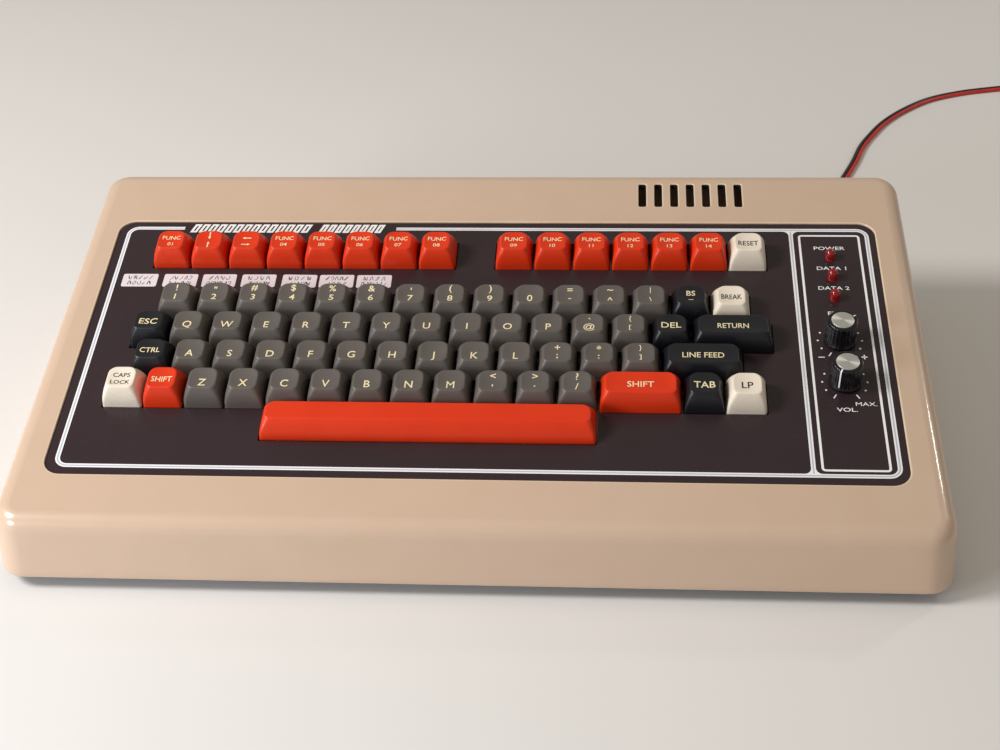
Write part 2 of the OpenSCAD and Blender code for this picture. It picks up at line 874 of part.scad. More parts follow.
// Steel plate that carries the switches.
module keyboard_plate() {
    hole = switch_side + 2 * plate_gap;
    tip_v = wire_v - wire_arm;
    color("#8d9094")
    on_panel()
    difference() {
        translate([field_x - plate_left, row_v(bar_row) - plate_front, -plate_w - plate_t])
            cube([keys_w + plate_left + plate_right, keys_d + plate_front + plate_rear, plate_t]);
        for (p = all_keys)
            translate([key_x(p) - hole / 2, key_v(p) - hole / 2, -plate_w - plate_t - 1])
                cube([hole, hole, plate_t + 2]);
        for (side = [-1, 1])
            translate([bar_mid + side * (hook_at - 1) - 4, tip_v - 4, -plate_w - plate_t - 1])
                cube([8, 8.4, plate_t + 2]);
    }
}

// Switch bodies, each with a flange on the plate and a square well, and the two clips of the wire.
module switch_housings() {
    color("#2d2b2b")
    on_panel() {
        for (p = all_keys)
            translate([key_x(p), key_v(p), -plate_w])
                switch_housing();
        for (side = [-1, 1])
            translate([bar_mid + side * (wire_reach - clip_in), wire_v, wire_w])
                wire_clip();
    }
}

module switch_housing() {
    difference() {
        union() {
            centred_box(switch_side, -switch_depth, 0);
            centred_box(flange_side, 0, flange_t);
            centred_box(switch_top_side, 0, switch_top_h);
        }
        centred_box(switch_well, switch_floor - switch_depth, switch_top_h + 1);
    }
}

// Square prism about the axis of w, from one height to another.
module centred_box(side, low, high) {
    translate([-side / 2, -side / 2, low])
        cube([side, side, high - low]);
}

module wire_clip() {
    foot = plate_w + wire_w;
    difference() {
        translate([-clip_w / 2, -clip_w / 2, -foot])
            cube([clip_w, clip_w, foot + clip_top]);
        rotate([0, 90, 0])
            cylinder(h = clip_w + 2, d = wire_d + 2 * wire_gap, center = true, $fn = 24);
    }
}

// Circuit board under the switches.
module keyboard_board() {
    color("#b98f4e")
    on_panel()
        translate([field_x - keyboard_board_left, row_v(bar_row), -keyboard_board_w - board_t])
            cube([keys_w + keyboard_board_left + keyboard_board_right, keys_d, board_t]);
}

// Main board, level above the tray.
module main_board() {
    color("#3f6b45")
    translate([main_board_at.x - main_board_size.x / 2, main_board_at.y - main_board_size.y / 2, board_z])
        difference() {
            cube([main_board_size.x, main_board_size.y, board_t]);
            for (p = board_holes())
                translate([p.x, p.y, -1])
                    cylinder(h = board_t + 2, d = 3.2);
        }
}

function board_holes() = [
    for (x = [board_screw_in, main_board_size.x / 2, main_board_size.x - board_screw_in],
         y = [board_screw_in, main_board_size.y - board_screw_in]) [x, y]
];

// Parts soldered to the main board: logic packages, smoothing capacitors and the finned heat sink.
module board_components() {
    z = board_z + board_t;
    left = main_board_at.x - main_board_size.x / 2;
    front = main_board_at.y - main_board_size.y / 2;
    color(black)
        for (i = [0 : 7], j = [0 : 2])
            translate([left + chips_from_left + i * chip_pitch.x,
                       front + chips_from_front + j * chip_pitch.y, z])
                chip(j == 1 ? wide_chip_w : chip_w, chip_l);
    color("#3b5a8f")
        for (i = [0 : 2])
            translate([left + main_board_size.x - reservoirs_from_right + i * reservoir_pitch,
                       front + chips_from_front + reservoir_d / 2, z])
                cylinder(h = reservoir_h, d = reservoir_d);
    color("#9aa0a6")
        translate([left + main_board_size.x - sink_size.x,
                   front + main_board_size.y - sink_from_rear - sink_size.y, z])
            heat_sink(sink_size.x, sink_size.y, sink_size.z, sink_fins);
}

module chip(w, l) {
    difference() {
        cube([w, l, 4]);
        translate([w / 2, 0, 4])
            cylinder(h = 1, r = 1.5, center = true);
    }
}

// Finned block, cut from a solid bar: w across, d deep, h high, with the given number of fins.
module heat_sink(w, d, h, fins) {
    pitch = w / fins;
    difference() {
        cube([w, d, h]);
        for (i = [0 : fins - 2])
            translate([(i + 1) * pitch - pitch / 4, -1, 4])
                cube([pitch / 2, d + 2, h]);
    }
}

// Pillars: six long ones under the switch plate and six short ones under the main board.
module support_pillars() {
    color("#c9cbce") {
        intersection() {
            for (x = [field_x - pillar_left, field_x + keys_w + pillar_right],
                 v = [row_v(bar_row), key_v([0, home_row, 1]), row_v(function_row) + 12])
                translate([x, slope_y(v), floor_z])
                    cylinder(h = far / 6, d = pillar_d);
            on_panel()
                translate([-far / 2, -far / 2, -plate_w - plate_t - far])
                    cube([far, far, far]);
        }
        translate([main_board_at.x - main_board_size.x / 2, main_board_at.y - main_board_size.y / 2, floor_z])
            for (p = board_holes())
                translate([p.x, p.y, 0]) {
                    cylinder(h = board_z - floor_z, d = 6);
                    cylinder(h = board_z - floor_z + board_t + 1.5, d = 3);
                }
    }
}

// Level distance of a point on the slope, under the switch plate.
function slope_y(v) = front_y + v * cos(tilt) + (panel_sink + plate_w) * sin(tilt);

// Loudspeaker, face down over the holes of the tray: basket, magnet and cone.
module speaker() {
    color("#46464a")
    translate([speaker_at.x, speaker_at.y, floor_z]) {
        rotate_extrude()
            polygon([
                [22, 0], [speaker_d / 2, 0], [speaker_d / 2, 2], [25, 2],
                [14, 9], [14, 10], [0, 10], [0, 8], [12, 8]
            ]);
        translate([0, 0, 10])
            cylinder(h = 7, d = 26);
    }
}

// Board behind the lamps and knobs.
module control_board() {
    color("#b98f4e")
    on_panel()
        translate([control_x - control_board_size.x / 2, volume_v - control_board_front,
                   -control_board_w - board_t])
            cube([control_board_size.x, lamp_v - volume_v + control_board_size.y, board_t]);
}

// Three lamps: domed bodies with a flange under the panel and two leads down to the board.
module status_lamps() {
    color("#c01818")
    on_panel()
        for (i = [0 : 2])
            translate([control_x, lamp_v - i * lamp_pitch, 0])
                lamp();
}

module lamp() {
    translate([0, 0, -panel_t - 1])
        cylinder(h = 1, d = lamp_flange_d);
    translate([0, 0, -panel_t - 1])
        cylinder(h = lamp_h - lamp_d / 2 + panel_t + 1, d = lamp_d);
    translate([0, 0, lamp_h - lamp_d / 2])
        sphere(d = lamp_d);
    for (x = [-1.27, 1.27])
        translate([x - 0.3, -0.3, -control_board_w])
            cube([0.6, 0.6, control_board_w - panel_t - 0.5]);
}

// Two potentiometers on the control board, each with its threaded bush and nut on the panel.
module control_pots() {
    color("#a8abad")
    on_panel()
        for (v = [fine_v, volume_v])
            translate([control_x, v, 0])
                difference() {
                    union() {
                        translate([0, 0, -control_board_w])
                            cylinder(h = pot_h, d = pot_d);
                        translate([0, 0, -panel_t - pot_drop - eps])
                            cylinder(h = panel_t + pot_drop + nut_h + 0.4, d = bush_d);
                        cylinder(h = nut_h, d = nut_d, $fn = 6);
                    }
                    translate([0, 0, -control_board_w + 2])
                        cylinder(h = control_board_w + nut_h, d = shaft_d + 2 * shaft_gap);
                }
}

// Fluted knob with its shaft, standing over the nut.
module knob(v) {
    on_panel()
        translate([control_x, v, 0]) {
            color(black)
                difference() {
                    union() {
                        translate([0, 0, knob_gap])
                            cylinder(h = knob_skirt, d = knob_d);
                        translate([0, 0, knob_gap])
                            cylinder(h = knob_h - 1, d = knob_d - 0.6);
                        translate([0, 0, knob_gap + knob_h - 1])
                            cylinder(h = 1, d1 = knob_d - 0.6, d2 = knob_d - 2.6);
                    }
                    for (i = [0 : knob_flutes - 1])
                        rotate(i * 360 / knob_flutes)
                            translate([knob_d / 2 - 0.1, 0, knob_gap + knob_skirt])
                                cylinder(h = knob_h, r = flute_r, $fn = 16);
                    translate([0, 0, knob_gap - 1])
                        cylinder(h = knob_recess_h + 1, d = knob_recess_d);
                    cylinder(h = shaft_end, d = shaft_d + 0.1);
                    translate([0, 0, knob_gap + knob_h - disc_sink])
                        cylinder(h = disc_sink + 1, d = disc_d + 0.1);
                }
            color("#c4c6c8")
                translate([0, 0, -control_board_w + 2.4])
                    cylinder(h = control_board_w - 2.4 + shaft_end, d = shaft_d);
        }
}

// Bright turned disc let into the top of a knob.
module knob_disc(v) {
    color("#d9dadb")
    on_panel()
        translate([control_x, v, knob_gap + knob_h - disc_sink])
            cylinder(h = disc_t, d = disc_d);
}

// Rear panel with the holes for its fittings, folded forwards along its foot.
module rear_panel() {
    color("#8d9094")
    difference() {
        union() {
            translate([-bay_w / 2 - rear_panel_over, rear_y - rear_t, floor_z])
                cube([bay_w + 2 * rear_panel_over, rear_t, rear_panel_h]);
            translate([-bay_w / 2 - rear_panel_over, rear_y - rear_fold, floor_z])
                cube([bay_w + 2 * rear_panel_over, rear_fold, rear_t]);
        }
        translate([rocker_x - 10.2, rear_y - 5, fitting_z - 7.2])
            cube([20.4, 10, 14.4]);
        for (x = concat([for (i = [0 : phono_count - 1]) phono_first + i * phono_pitch], [fuse_x]))
            rear_bore(x, barrel_d + rear_bore_gap);
        rear_bore(grommet_x, grommet_neck_d + rear_bore_gap);
        translate([printer_x - printer_shell.x / 2 - 1.2, rear_y - 5, fitting_z - printer_shell.y / 2 - 0.4])
            cube([printer_shell.x + 2.4, 10, printer_shell.y + 0.8]);
    }
}

module rear_bore(x, d) {
    translate([x, rear_y - 5, fitting_z])
        rotate([-90, 0, 0])
            cylinder(h = 10, d = d);
}

// Sockets on the rear panel: six phono sockets, the printer socket and the fuse holder.
module rear_sockets() {
    color("#d8d2c4")
        for (i = [0 : phono_count - 1])
            translate([phono_first + i * phono_pitch, rear_y, fitting_z])
                rotate([-90, 0, 0])
                    phono_socket();
    color("#a9acb0")
        translate([printer_x, rear_y, fitting_z])
            printer_socket();
    color(black)
        translate([fuse_x, rear_y, fitting_z])
            rotate([-90, 0, 0])
                fuse_holder();
}

// Phono socket: insulated flange, threaded barrel through the panel and a hollow centre contact.
module phono_socket() {
    difference() {
        union() {
            cylinder(h = 1.4, d = collar_d);
            cylinder(h = phono_out, d = barrel_d);
            translate([0, 0, -phono_back])
                cylinder(h = phono_back + eps, d = barrel_d);
        }
        translate([0, 0, 1.6])
            cylinder(h = phono_out, d = phono_bore_d);
    }
}

// Flat socket for the printer cable: flange, shell with sloping ends and a slot of contacts.
module printer_socket() {
    difference() {
        union() {
            translate([-printer_flange.x / 2, 0, -printer_flange.y / 2])
                cube([printer_flange.x, 1.2, printer_flange.y]);
            translate([0, -printer_behind, 0])
                rotate([-90, 0, 0])
                    linear_extrude(printer_behind + printer_before)
                        socket_outline(printer_shell.x, printer_shell.y);
        }
        translate([0, printer_before - 3, 0])
            rotate([-90, 0, 0])
                linear_extrude(6)
                    difference() {
                        socket_outline(printer_shell.x - 2, printer_shell.y - 2);
                        square([printer_shell.x - 7.6, 3], center = true);
                    }
    }
}

module socket_outline(w, h) {
    polygon([[-w / 2, -h / 2], [w / 2, -h / 2], [w / 2 - 1.6, h / 2], [-w / 2 + 1.6, h / 2]]);
}

module fuse_holder() {
    difference() {
        union() {
            cylinder(h = 2, d = 13);
            translate([0, 0, 2 - eps])
                cylinder(h = 8, d = 11.5);
            translate([0, 0, -24])
                cylinder(h = 24 + eps, d = barrel_d);
        }
        for (i = [0 : 11])
            rotate(i * 30)
                translate([6, 0, 4])
                    cylinder(h = 8, r = 0.8, $fn = 16);
        translate([-4, -0.6, 9])
            cube([8, 1.2, 2]);
    }
}

// Body of the supply switch: a bezel on the rear panel and a well with a pin across it.
module power_switch() {
    color(black)
    translate([rocker_x, rear_y, fitting_z])
        difference() {
            union() {
                translate([-12, 0, -9])
                    cube([24, bezel_t, 18]);
                translate([-10, -14, -7])
                    cube([20, 14 + eps, 14]);
            }
            translate([-rocker_l / 2 - rocker_gap, -9, -rocker_w / 2 - rocker_gap])
                cube([rocker_l + 2 * rocker_gap, 12, rocker_w + 2 * rocker_gap]);
        }
    color("#c4c6c8")
    translate([rocker_x, rear_y - 2, fitting_z])
        cylinder(h = 14, d = rocker_pin_d, center = true);
}

// Rocker that tips on that pin. It rests pressed at one end.
module power_rocker() {
    color("#b3261c")
    translate([rocker_x, rear_y - 2, fitting_z])
        rotate([0, 0, rocker_swing / 2])
            difference() {
                translate([0, 0, -rocker_w / 2])
                    linear_extrude(rocker_w)
                        polygon([
                            [-rocker_l / 2 + 0.5, 1], [0, -3], [rocker_l / 2 - 0.5, 1],
                            [rocker_l / 2 - 0.8, rocker_t], [0, rocker_t - 1.4],
                            [-rocker_l / 2 + 0.8, rocker_t]
                        ]);
                cylinder(h = rocker_w + 2, d = rocker_pin_d + 0.5, center = true);
            }
}

// Strain relief of the supply lead: a flanged bush that tapers off outside the panel.
module cord_grommet() {
    color(black)
    translate([grommet_x, rear_y, fitting_z])
        rotate([-90, 0, 0])
            difference() {
                union() {
                    translate([0, 0, -4])
                        cylinder(h = 4 + eps, d = grommet_neck_d);
                    cylinder(h = 2.5, d = collar_d);
                    translate([0, 0, 2.5 - eps])
                        cylinder(h = 12.5, d1 = 9.5, d2 = 7.6);
                }
                for (k = [0 : 3])
                    translate([3.2, -6, 4 + k * 2.8])
                        cube([4, 12, 1.2]);
            }
}

// Tube of the given half-width and half-height swept along points, closed at both ends.
function unit_vector(a) = a / norm(a);
function way(points, i) =
    let (last = len(points) - 1)
    unit_vector(points[min(i + 1, last)] - points[max(i - 1, 0)]);
function ring(points, i, a, b) =
    let (d = way(points, i), across = unit_vector(cross(d, [0, 0, 1])), up = cross(across, d))
    [for (k = [0 : 7]) points[i] + a * cos(k * 45) * across + b * sin(k * 45) * up];

module swept_lead(points, a, b) {
    n = len(points);
    polyhedron(
        points = [for (i = [0 : n - 1]) each ring(points, i, a, b)],
        faces = concat(
            [[for (k = [0 : 7]) k]],
            [for (i = [0 : n - 2], k = [0 : 7])
                [i * 8 + k, (i + 1) * 8 + k, (i + 1) * 8 + (k + 1) % 8, i * 8 + (k + 1) % 8]],
            [[for (k = [7 : -1 : 0]) (n - 1) * 8 + k]]
        )
    );
}

// Free stretch of the supply lead, from the strain relief to the coil.
module supply_cord() {
    color("#9c2220")
        swept_lead(lead_points, lead_w / 2, lead_t / 2);
}

// Stored length of the lead, as one ring.
module supply_cord_coil() {
    color("#9c2220")
        translate([coil_at.x, coil_at.y, coil_h / 2])
            rotate_extrude()
                translate([coil_r, 0])
                    square([lead_w * coil_columns, coil_h], center = true);
}

// Two-way plug at the far end of the lead, lying on the coil.
module supply_plug() {
    color(black)
        translate([coil_at.x - plug_l / 2, coil_at.y - coil_r - plug_w / 2, coil_h])
            difference() {
                cube([plug_l, plug_w, plug_t]);
                for (y = [plug_w / 4, 3 * plug_w / 4])
                    translate([-1, y, plug_t / 2])
                        rotate([0, 90, 0])
                            cylinder(h = 12, d = 3.4);
            }
}

// Four feet under the tray.
module rubber_feet() {
    x = case_w / 2 - foot_in.x;
    y = case_d / 2 - foot_in.y;
    color("#26262a")
        for (sx = [-1, 1], sy = [-1, 1])
            translate([sx * x, sy * y, 0])
                rotate_extrude()
                    polygon([
                        [0, 0], [foot_d / 2 - 1, 0], [foot_d / 2, 1], [foot_d / 2, foot_h], [0, foot_h]
                    ]);
}

// Self-tapping screws that hold the tray to the case.
module case_screws() {
    color("#c9cbce")
        for (p = case_screw_places())
            translate([p.x, p.y, 0])
                difference() {
                    union() {
                        translate([0, 0, tray_z - 2])
                            cylinder(h = 2, d1 = 4.6, d2 = 6);
                        translate([0, 0, tray_z - eps])
                            cylinder(h = 12, d = screw_d);
                    }
                    for (a = [0, 90])
                        rotate(a)
                            translate([-1.6, -0.4, tray_z - 3])
                                cube([3.2, 0.8, 2]);
                }
}

upper_case();
base_tray();
front_panel();
keyboard_plate();
switch_housings();
keyboard_board();
space_bar_wire();
main_board();
board_components();
support_pillars();
speaker();
control_board();
status_lamps();
control_pots();
knob(fine_v);  // fine_knob
knob_disc(fine_v);  // fine_knob_disc
knob(volume_v);  // volume_knob
knob_disc(volume_v);  // volume_knob_disc
power_switch();
power_rocker();
rear_panel();
rear_sockets();
cord_grommet();
supply_cord();
supply_cord_coil();
supply_plug();
rubber_feet();
case_screws();
key(function_keys[0], red);  // function_key_1
key(function_keys[1], red);  // function_key_2
key(function_keys[2], red);  // function_key_3
key(function_keys[3], red);  // function_key_4
key(function_keys[4], red);  // function_key_5
key(function_keys[5], red);  // function_key_6
key(function_keys[6], red);  // function_key_7
key(function_keys[7], red);  // function_key_8
key(function_keys[8], red);  // function_key_9
key(function_keys[9], red);  // function_key_10
key(function_keys[10], red);  // function_key_11
key(function_keys[11], red);  // function_key_12
key(function_keys[12], red);  // function_key_13
key(function_keys[13], red);  // function_key_14
key(reset_place, cream);  // reset_key
key(backspace_place, black);  // backspace_key
key(break_place, cream);  // break_key
key(escape_place, black);  // escape_key
key(delete_place, black);  // delete_key
key(return_place, black);  // return_key
key(control_place, black);  // control_key
key(line_feed_place, black);  // line_feed_key
key(caps_lock_place, cream);  // caps_lock_key
key(left_shift_place, red);  // left_shift_key
key(right_shift_place, red);  // right_shift_key
key(tab_place, black);  // tab_key
key(print_place, cream);  // print_key
space_bar();
bank(digit_bank, grey);  // digit_keys
bank(upper_bank, grey);  // upper_letter_keys
bank(home_bank, grey);  // home_letter_keys
bank(lower_bank, grey);  // lower_letter_keys
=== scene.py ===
"""Looks of a desk-top communications terminal of the early 1980s: a sloping keyboard console.

Lengths are millimetres up to the point where a mesh is made; the scene itself is in metres. The slope of
the case has its own frame: x across from the middle, v up the slope from its front edge, w out of it.
"""

from math import atan, cos, pi, radians, sin, tan

import bpy
import numpy as np
from mathutils import Matrix, Vector
from mathutils.geometry import delaunay_2d_cdt


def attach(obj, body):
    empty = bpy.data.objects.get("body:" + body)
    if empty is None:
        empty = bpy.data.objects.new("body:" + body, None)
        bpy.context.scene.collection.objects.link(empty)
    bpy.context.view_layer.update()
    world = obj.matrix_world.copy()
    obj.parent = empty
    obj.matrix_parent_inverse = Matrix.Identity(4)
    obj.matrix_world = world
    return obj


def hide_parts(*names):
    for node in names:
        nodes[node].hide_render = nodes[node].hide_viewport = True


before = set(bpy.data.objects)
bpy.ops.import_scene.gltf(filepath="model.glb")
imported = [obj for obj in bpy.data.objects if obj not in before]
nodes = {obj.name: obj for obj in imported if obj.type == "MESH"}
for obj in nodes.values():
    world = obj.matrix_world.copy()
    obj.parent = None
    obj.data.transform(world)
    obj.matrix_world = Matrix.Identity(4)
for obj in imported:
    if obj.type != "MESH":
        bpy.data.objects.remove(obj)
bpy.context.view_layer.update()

# Frame and driving dimensions

TILT = radians(11)
SIN, COS = sin(TILT), cos(TILT)
CASE_W, CASE_D, SHELL_Z, WALL = 419.0, 238.0, 6.5, 3.0
FRONT_Y, FRONT_Z, SLOPE_L = -117.97, 36.0, 238.74
DRAFT, SIDE_DRAFT = radians(2), radians(2.4)
FRONT_R, REAR_R, EDGE_R = 13.0, 12.0, 8.0
PANEL_W, PANEL_D, PANEL_V, PANEL_R, PANEL_SINK, PANEL_T = 381.6, 168.5, 29.4, 8.5, 0.8, 2.0
PANEL_GAP, LEDGE_W = 0.2, 4.0
UNIT, CAP_GAP, CAP_D = 19.05, 1.05, 18.0
FIELD_X, FIELD_V = -172.75, 69.9
ROW_V = [FIELD_V - UNIT, FIELD_V, FIELD_V + UNIT, FIELD_V + 2 * UNIT, FIELD_V + 3 * UNIT, 163.9]
CONTROL_X, FINE_V, VOLUME_V = 167.6, 116.8, 90.4
BAY_HALF, BAY_LOW, BAY_HIGH, BAY_BACK = 182.0, 14.0, 56.0, 106.0


def at(x, v, w=0.0):
    """World millimetres of a point of the slope's frame:
    (x, front_y + v cos t - w sin t, front_z + v sin t + w cos t)."""
    x, v, w = np.broadcast_arrays(*(np.asarray(a, float) for a in (x, v, w)))
    return np.stack([x, FRONT_Y + v * COS - w * SIN, FRONT_Z + v * SIN + w * COS], -1)


def lifted(points, w=0.0):
    """World millimetres of (x, v) pairs, all at one height above the slope."""
    return at(points[:, 0], points[:, 1], w)


def on_panel(x, v, w=0.0):
    """World millimetres of a point given from the face of the brown panel."""
    return at(x, v, np.asarray(w, float) - PANEL_SINK)


def add_object(name, data):
    obj = bpy.data.objects.new(name, data)
    bpy.context.scene.collection.objects.link(obj)
    return obj


# Shader maths


class Value:
    """One number in a material's node tree. Arithmetic on it adds Math nodes."""

    def __init__(self, tree, socket):
        self.tree, self.socket = tree, socket

    def math(self, operation, *others):
        node = self.tree.nodes.new("ShaderNodeMath")
        node.operation = operation
        for place, item in zip(node.inputs, (self, *others)):
            put(self.tree, place, item)
        return Value(self.tree, node.outputs[0])

    def __add__(self, other):
        return self.math("ADD", other)

    def __sub__(self, other):
        return self.math("SUBTRACT", other)

    def __mul__(self, other):
        return self.math("MULTIPLY", other)

    def __truediv__(self, other):
        return self.math("DIVIDE", other)

    def __rsub__(self, other):
        return self * -1 + other

    def __rtruediv__(self, other):
        return self.math("POWER", -1) * other

    __radd__, __rmul__ = __add__, __mul__

    def clamp(self):
        return self.math("MAXIMUM", 0.0).math("MINIMUM", 1.0)

    def ramp(self, low, high):
        """0 at low, 1 at high, straight between and level outside."""
        return ((self - low) / (high - low)).clamp()


def put(tree, place, item):
    """Sets a socket to a constant, or links a Value or another socket to it."""
    if isinstance(item, Value):
        tree.links.new(item.socket, place)
    elif isinstance(item, bpy.types.NodeSocket):
        tree.links.new(item, place)
    else:
        place.default_value = item


def rgb(code):
    """Linear colour of a #rrggbb code: ((c + 0.055) / 1.055) ^ 2.4 above the straight foot of the curve."""
    parts = [int(code[i:i + 2], 16) / 255 for i in (1, 3, 5)]
    return tuple(c / 12.92 if c < 0.04045 else ((c + 0.055) / 1.055) ** 2.4 for c in parts) + (1.0,)


class Look:
    """A procedural material on object coordinates, in metres: one Principled shader and what varies on it."""

    def __init__(self, name, colour, rough, metal=0.0, coat=0.0, specular=0.5):
        self.material = bpy.data.materials.new(name)
        self.material.use_nodes = True
        self.tree = self.material.node_tree
        self.shader = self.tree.nodes["Principled BSDF"]
        self.colour = rgb(colour)
        self.put("Base Color", self.colour)
        self.put("Roughness", rough)
        self.put("Metallic", metal)
        self.put("Coat Weight", coat)
        self.put("Coat Roughness", 0.1)
        self.put("Specular IOR Level", specular)
        self.place = self.node("ShaderNodeTexCoord", "Object", {})

    def put(self, name, item):
        put(self.tree, self.shader.inputs[name], item)
        return self

    def node(self, kind, output, inputs, **settings):
        """Any node but Math: makes it, sets its settings, then its inputs, and returns one of its outputs."""
        node = self.tree.nodes.new(kind)
        for name, value in settings.items():
            setattr(node, name, value)
        for socket, item in inputs.items():
            put(self.tree, node.inputs[socket], item)
        return node.outputs[output]

    def noise(self, scale, detail, place=None):
        inputs = {"Vector": place or self.place, "Scale": scale, "Detail": detail}
        return Value(self.tree, self.node("ShaderNodeTexNoise", "Fac", inputs))

    def specks(self, scale, size):
        """1 inside small round specks, one per cell of a Voronoi pattern, 0 between them."""
        far = self.node("ShaderNodeTexVoronoi", "Distance", {"Vector": self.place, "Scale": scale})
        return 1.0 - Value(self.tree, far).ramp(size * 0.7, size)

    def uv(self, name):
        place = self.node("ShaderNodeTexCoord", "UV", {})
        return Value(self.tree, self.node("ShaderNodeSeparateXYZ", name, {"Vector": place}))

    def vary(self, other, factor):
        """Blends the base colour towards another one. Inputs 0, 6 and 7 of a Mix node are its factor and
        its two colours, and output 2 is the colour between them."""
        inputs = {0: factor, 6: self.colour, 7: rgb(other)}
        self.colour = self.node("ShaderNodeMix", 2, inputs, data_type="RGBA")
        return self.put("Base Color", self.colour)

    def bump(self, height, distance):
        """Bump from a height of 0 to 1 that stands for the given distance in metres."""
        inputs = {"Height": height, "Distance": distance}
        return self.put("Normal", self.node("ShaderNodeBump", "Normal", inputs))


# Meshes


def make_mesh(name, points, faces, body, looks, slots=None, smooth=True, uv=None):
    """A mesh object from points in world millimetres, riding on one CAD body.
    uv holds one pair per point."""
    mesh = bpy.data.meshes.new(name)
    faces = [tuple(int(i) for i in face) for face in faces]
    mesh.from_pydata((np.asarray(points, float) / 1000).tolist(), [], faces)
    mesh.polygons.foreach_set("use_smooth", np.full(len(mesh.polygons), smooth))
    for look in looks:
        mesh.materials.append(look.material)
    if slots is not None:
        mesh.polygons.foreach_set("material_index", np.asarray(slots, np.int32))
    if uv is not None:
        corners = np.zeros(len(mesh.loops), np.int32)
        mesh.loops.foreach_get("vertex_index", corners)
        mesh.uv_layers.new(name="surface").data.foreach_set("uv", np.asarray(uv, float)[corners].ravel())
    mesh.update()
    obj = add_object(name, mesh)
    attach(obj, body)
    return obj


class Shape:
    """Points and faces gathered for one mesh, each face with the slot of its material."""

    def __init__(self):
        self.points, self.faces, self.slots, self.count = [], [], [], 0

    def add(self, points, faces, slot=0):
        points = np.asarray(points, float).reshape(-1, 3)
        self.points.append(points)
        self.faces.extend(tuple(int(i) + self.count for i in f) for f in faces)
        self.slots.extend([slot] * len(faces))
        self.count += len(points)

    def loft(self, loops, slot=0, closed=True, first=False, last=False):
        """Skin over loops of equally many points, with a lid on the first or last loop where asked for."""
        loops = np.asarray(loops, float)
        rows, n = loops.shape[:2]
        i, k = np.meshgrid(np.arange(rows - 1), np.arange(n if closed else n - 1), indexing="ij")
        i, k = i.ravel(), k.ravel()
        k1 = (k + 1) % n
        faces = np.stack([i * n + k, i * n + k1, (i + 1) * n + k1, (i + 1) * n + k], 1).tolist()
        if first:
            faces.append(list(range(n - 1, -1, -1)))
        if last:
            faces.append(list(range((rows - 1) * n, rows * n)))
        self.add(loops.reshape(-1, 3), faces, slot)

    def box(self, low, high, place, slot=0):
        """Box between two corners, through a function that places its points."""
        c = np.array([[x, y, z] for z in (low[2], high[2]) for y in (low[1], high[1])
                      for x in (low[0], high[0])])
        faces = [(0, 2, 3, 1), (4, 5, 7, 6), (0, 1, 5, 4), (1, 3, 7, 5), (3, 2, 6, 7), (2, 0, 4, 6)]
        self.add(place(c[:, 0], c[:, 1], c[:, 2]), faces, slot)

    def mesh(self, name, body, looks, **options):
        return make_mesh(name, np.vstack(self.points), self.faces, body, looks, self.slots, **options)


def rounded(x0, x1, y0, y1, radii, per_corner=8, sides=None):
    """Rounded rectangle, counter-clockwise from the right end of its front side: radii of the front right,
    rear right, rear left and front left corners, (cx + r cos a, cy + r sin a) on each of them. Its straight
    sides are divided into the numbers of parts (along x, along y) where those are given."""
    arcs = []
    for (sx, sy), r, start in zip(((1, -1), (1, 1), (-1, 1), (-1, -1)), radii, (-90, 0, 90, 180)):
        a = np.radians(np.linspace(start, start + 90, per_corner))
        cx, cy = (x1 if sx > 0 else x0) - sx * r, (y1 if sy > 0 else y0) - sy * r
        arcs.append(np.stack([cx + r * np.cos(a), cy + r * np.sin(a)], 1))
    out = []
    for k, arc in enumerate(arcs):
        parts = sides[(k + 1) % 2] if sides else 1
        t = np.linspace(0, 1, parts + 1)[1:-1, None]
        out += [arc, arc[-1] * (1 - t) + arcs[(k + 1) % 4][0] * t]
    return np.vstack(out)


def full_turn(count):
    """Angles of even steps round a circle."""
    return np.linspace(0, 2 * pi, count, endpoint=False)


def circle(radius, count):
    a = full_turn(count)
    return radius * np.stack([np.cos(a), np.sin(a)], 1)


def fill(loops):
    """Triangles of the flat region inside the first loop and outside the others: (points, triangles)."""
    flat, edges, start = [], [], 0
    for loop in loops:
        n = len(loop)
        flat.extend(map(Vector, loop.tolist()))
        edges.extend((start + i, start + (i + 1) % n) for i in range(n))
        start += n
    found = delaunay_2d_cdt(flat, edges, [], 1, 1e-6)
    points = np.array([tuple(p) for p in found[0]])
    faces = np.array(found[2])
    middle = points[faces].mean(1)
    keep = inside(loops[0], middle)
    for loop in loops[1:]:
        keep &= ~inside(loop, middle)
    return points, faces[keep]


def inside(loop, points):
    """Which points lie in a closed polygon, by the crossings of a ray along +x."""
    a, b = loop[None], np.roll(loop, -1, 0)[None]
    p = points[:, None]
    spans = (a[..., 1] > p[..., 1]) != (b[..., 1] > p[..., 1])
    rise = np.where(spans, b[..., 1] - a[..., 1], 1.0)
    crossing = a[..., 0] + (p[..., 1] - a[..., 1]) / rise * (b[..., 0] - a[..., 0])
    return (spans & (p[..., 0] < crossing)).sum(1) % 2 == 1


# Camera, floor and light

CAMERA_AT = (64.622, -631.336, 488.392)
CAMERA_AHEAD = Vector((-0.07271132, 0.80924134, -0.58295928))
CAMERA_RIGHT = Vector((0.99730364, 0.06481112, -0.03442337))
CAMERA_LENS = 58.1477
FLOOR_REACH = 4000


def add_camera():
    data = bpy.data.cameras.new("photo_camera")
    data.lens, data.sensor_width, data.clip_start = CAMERA_LENS, 36, 0.01
    obj = add_object("photo_camera", data)
    turn = Matrix((CAMERA_RIGHT, CAMERA_RIGHT.cross(CAMERA_AHEAD), -CAMERA_AHEAD)).transposed().to_4x4()
    obj.matrix_world = Matrix.Translation(Vector(CAMERA_AT) / 1000) @ turn
    bpy.context.scene.camera = obj


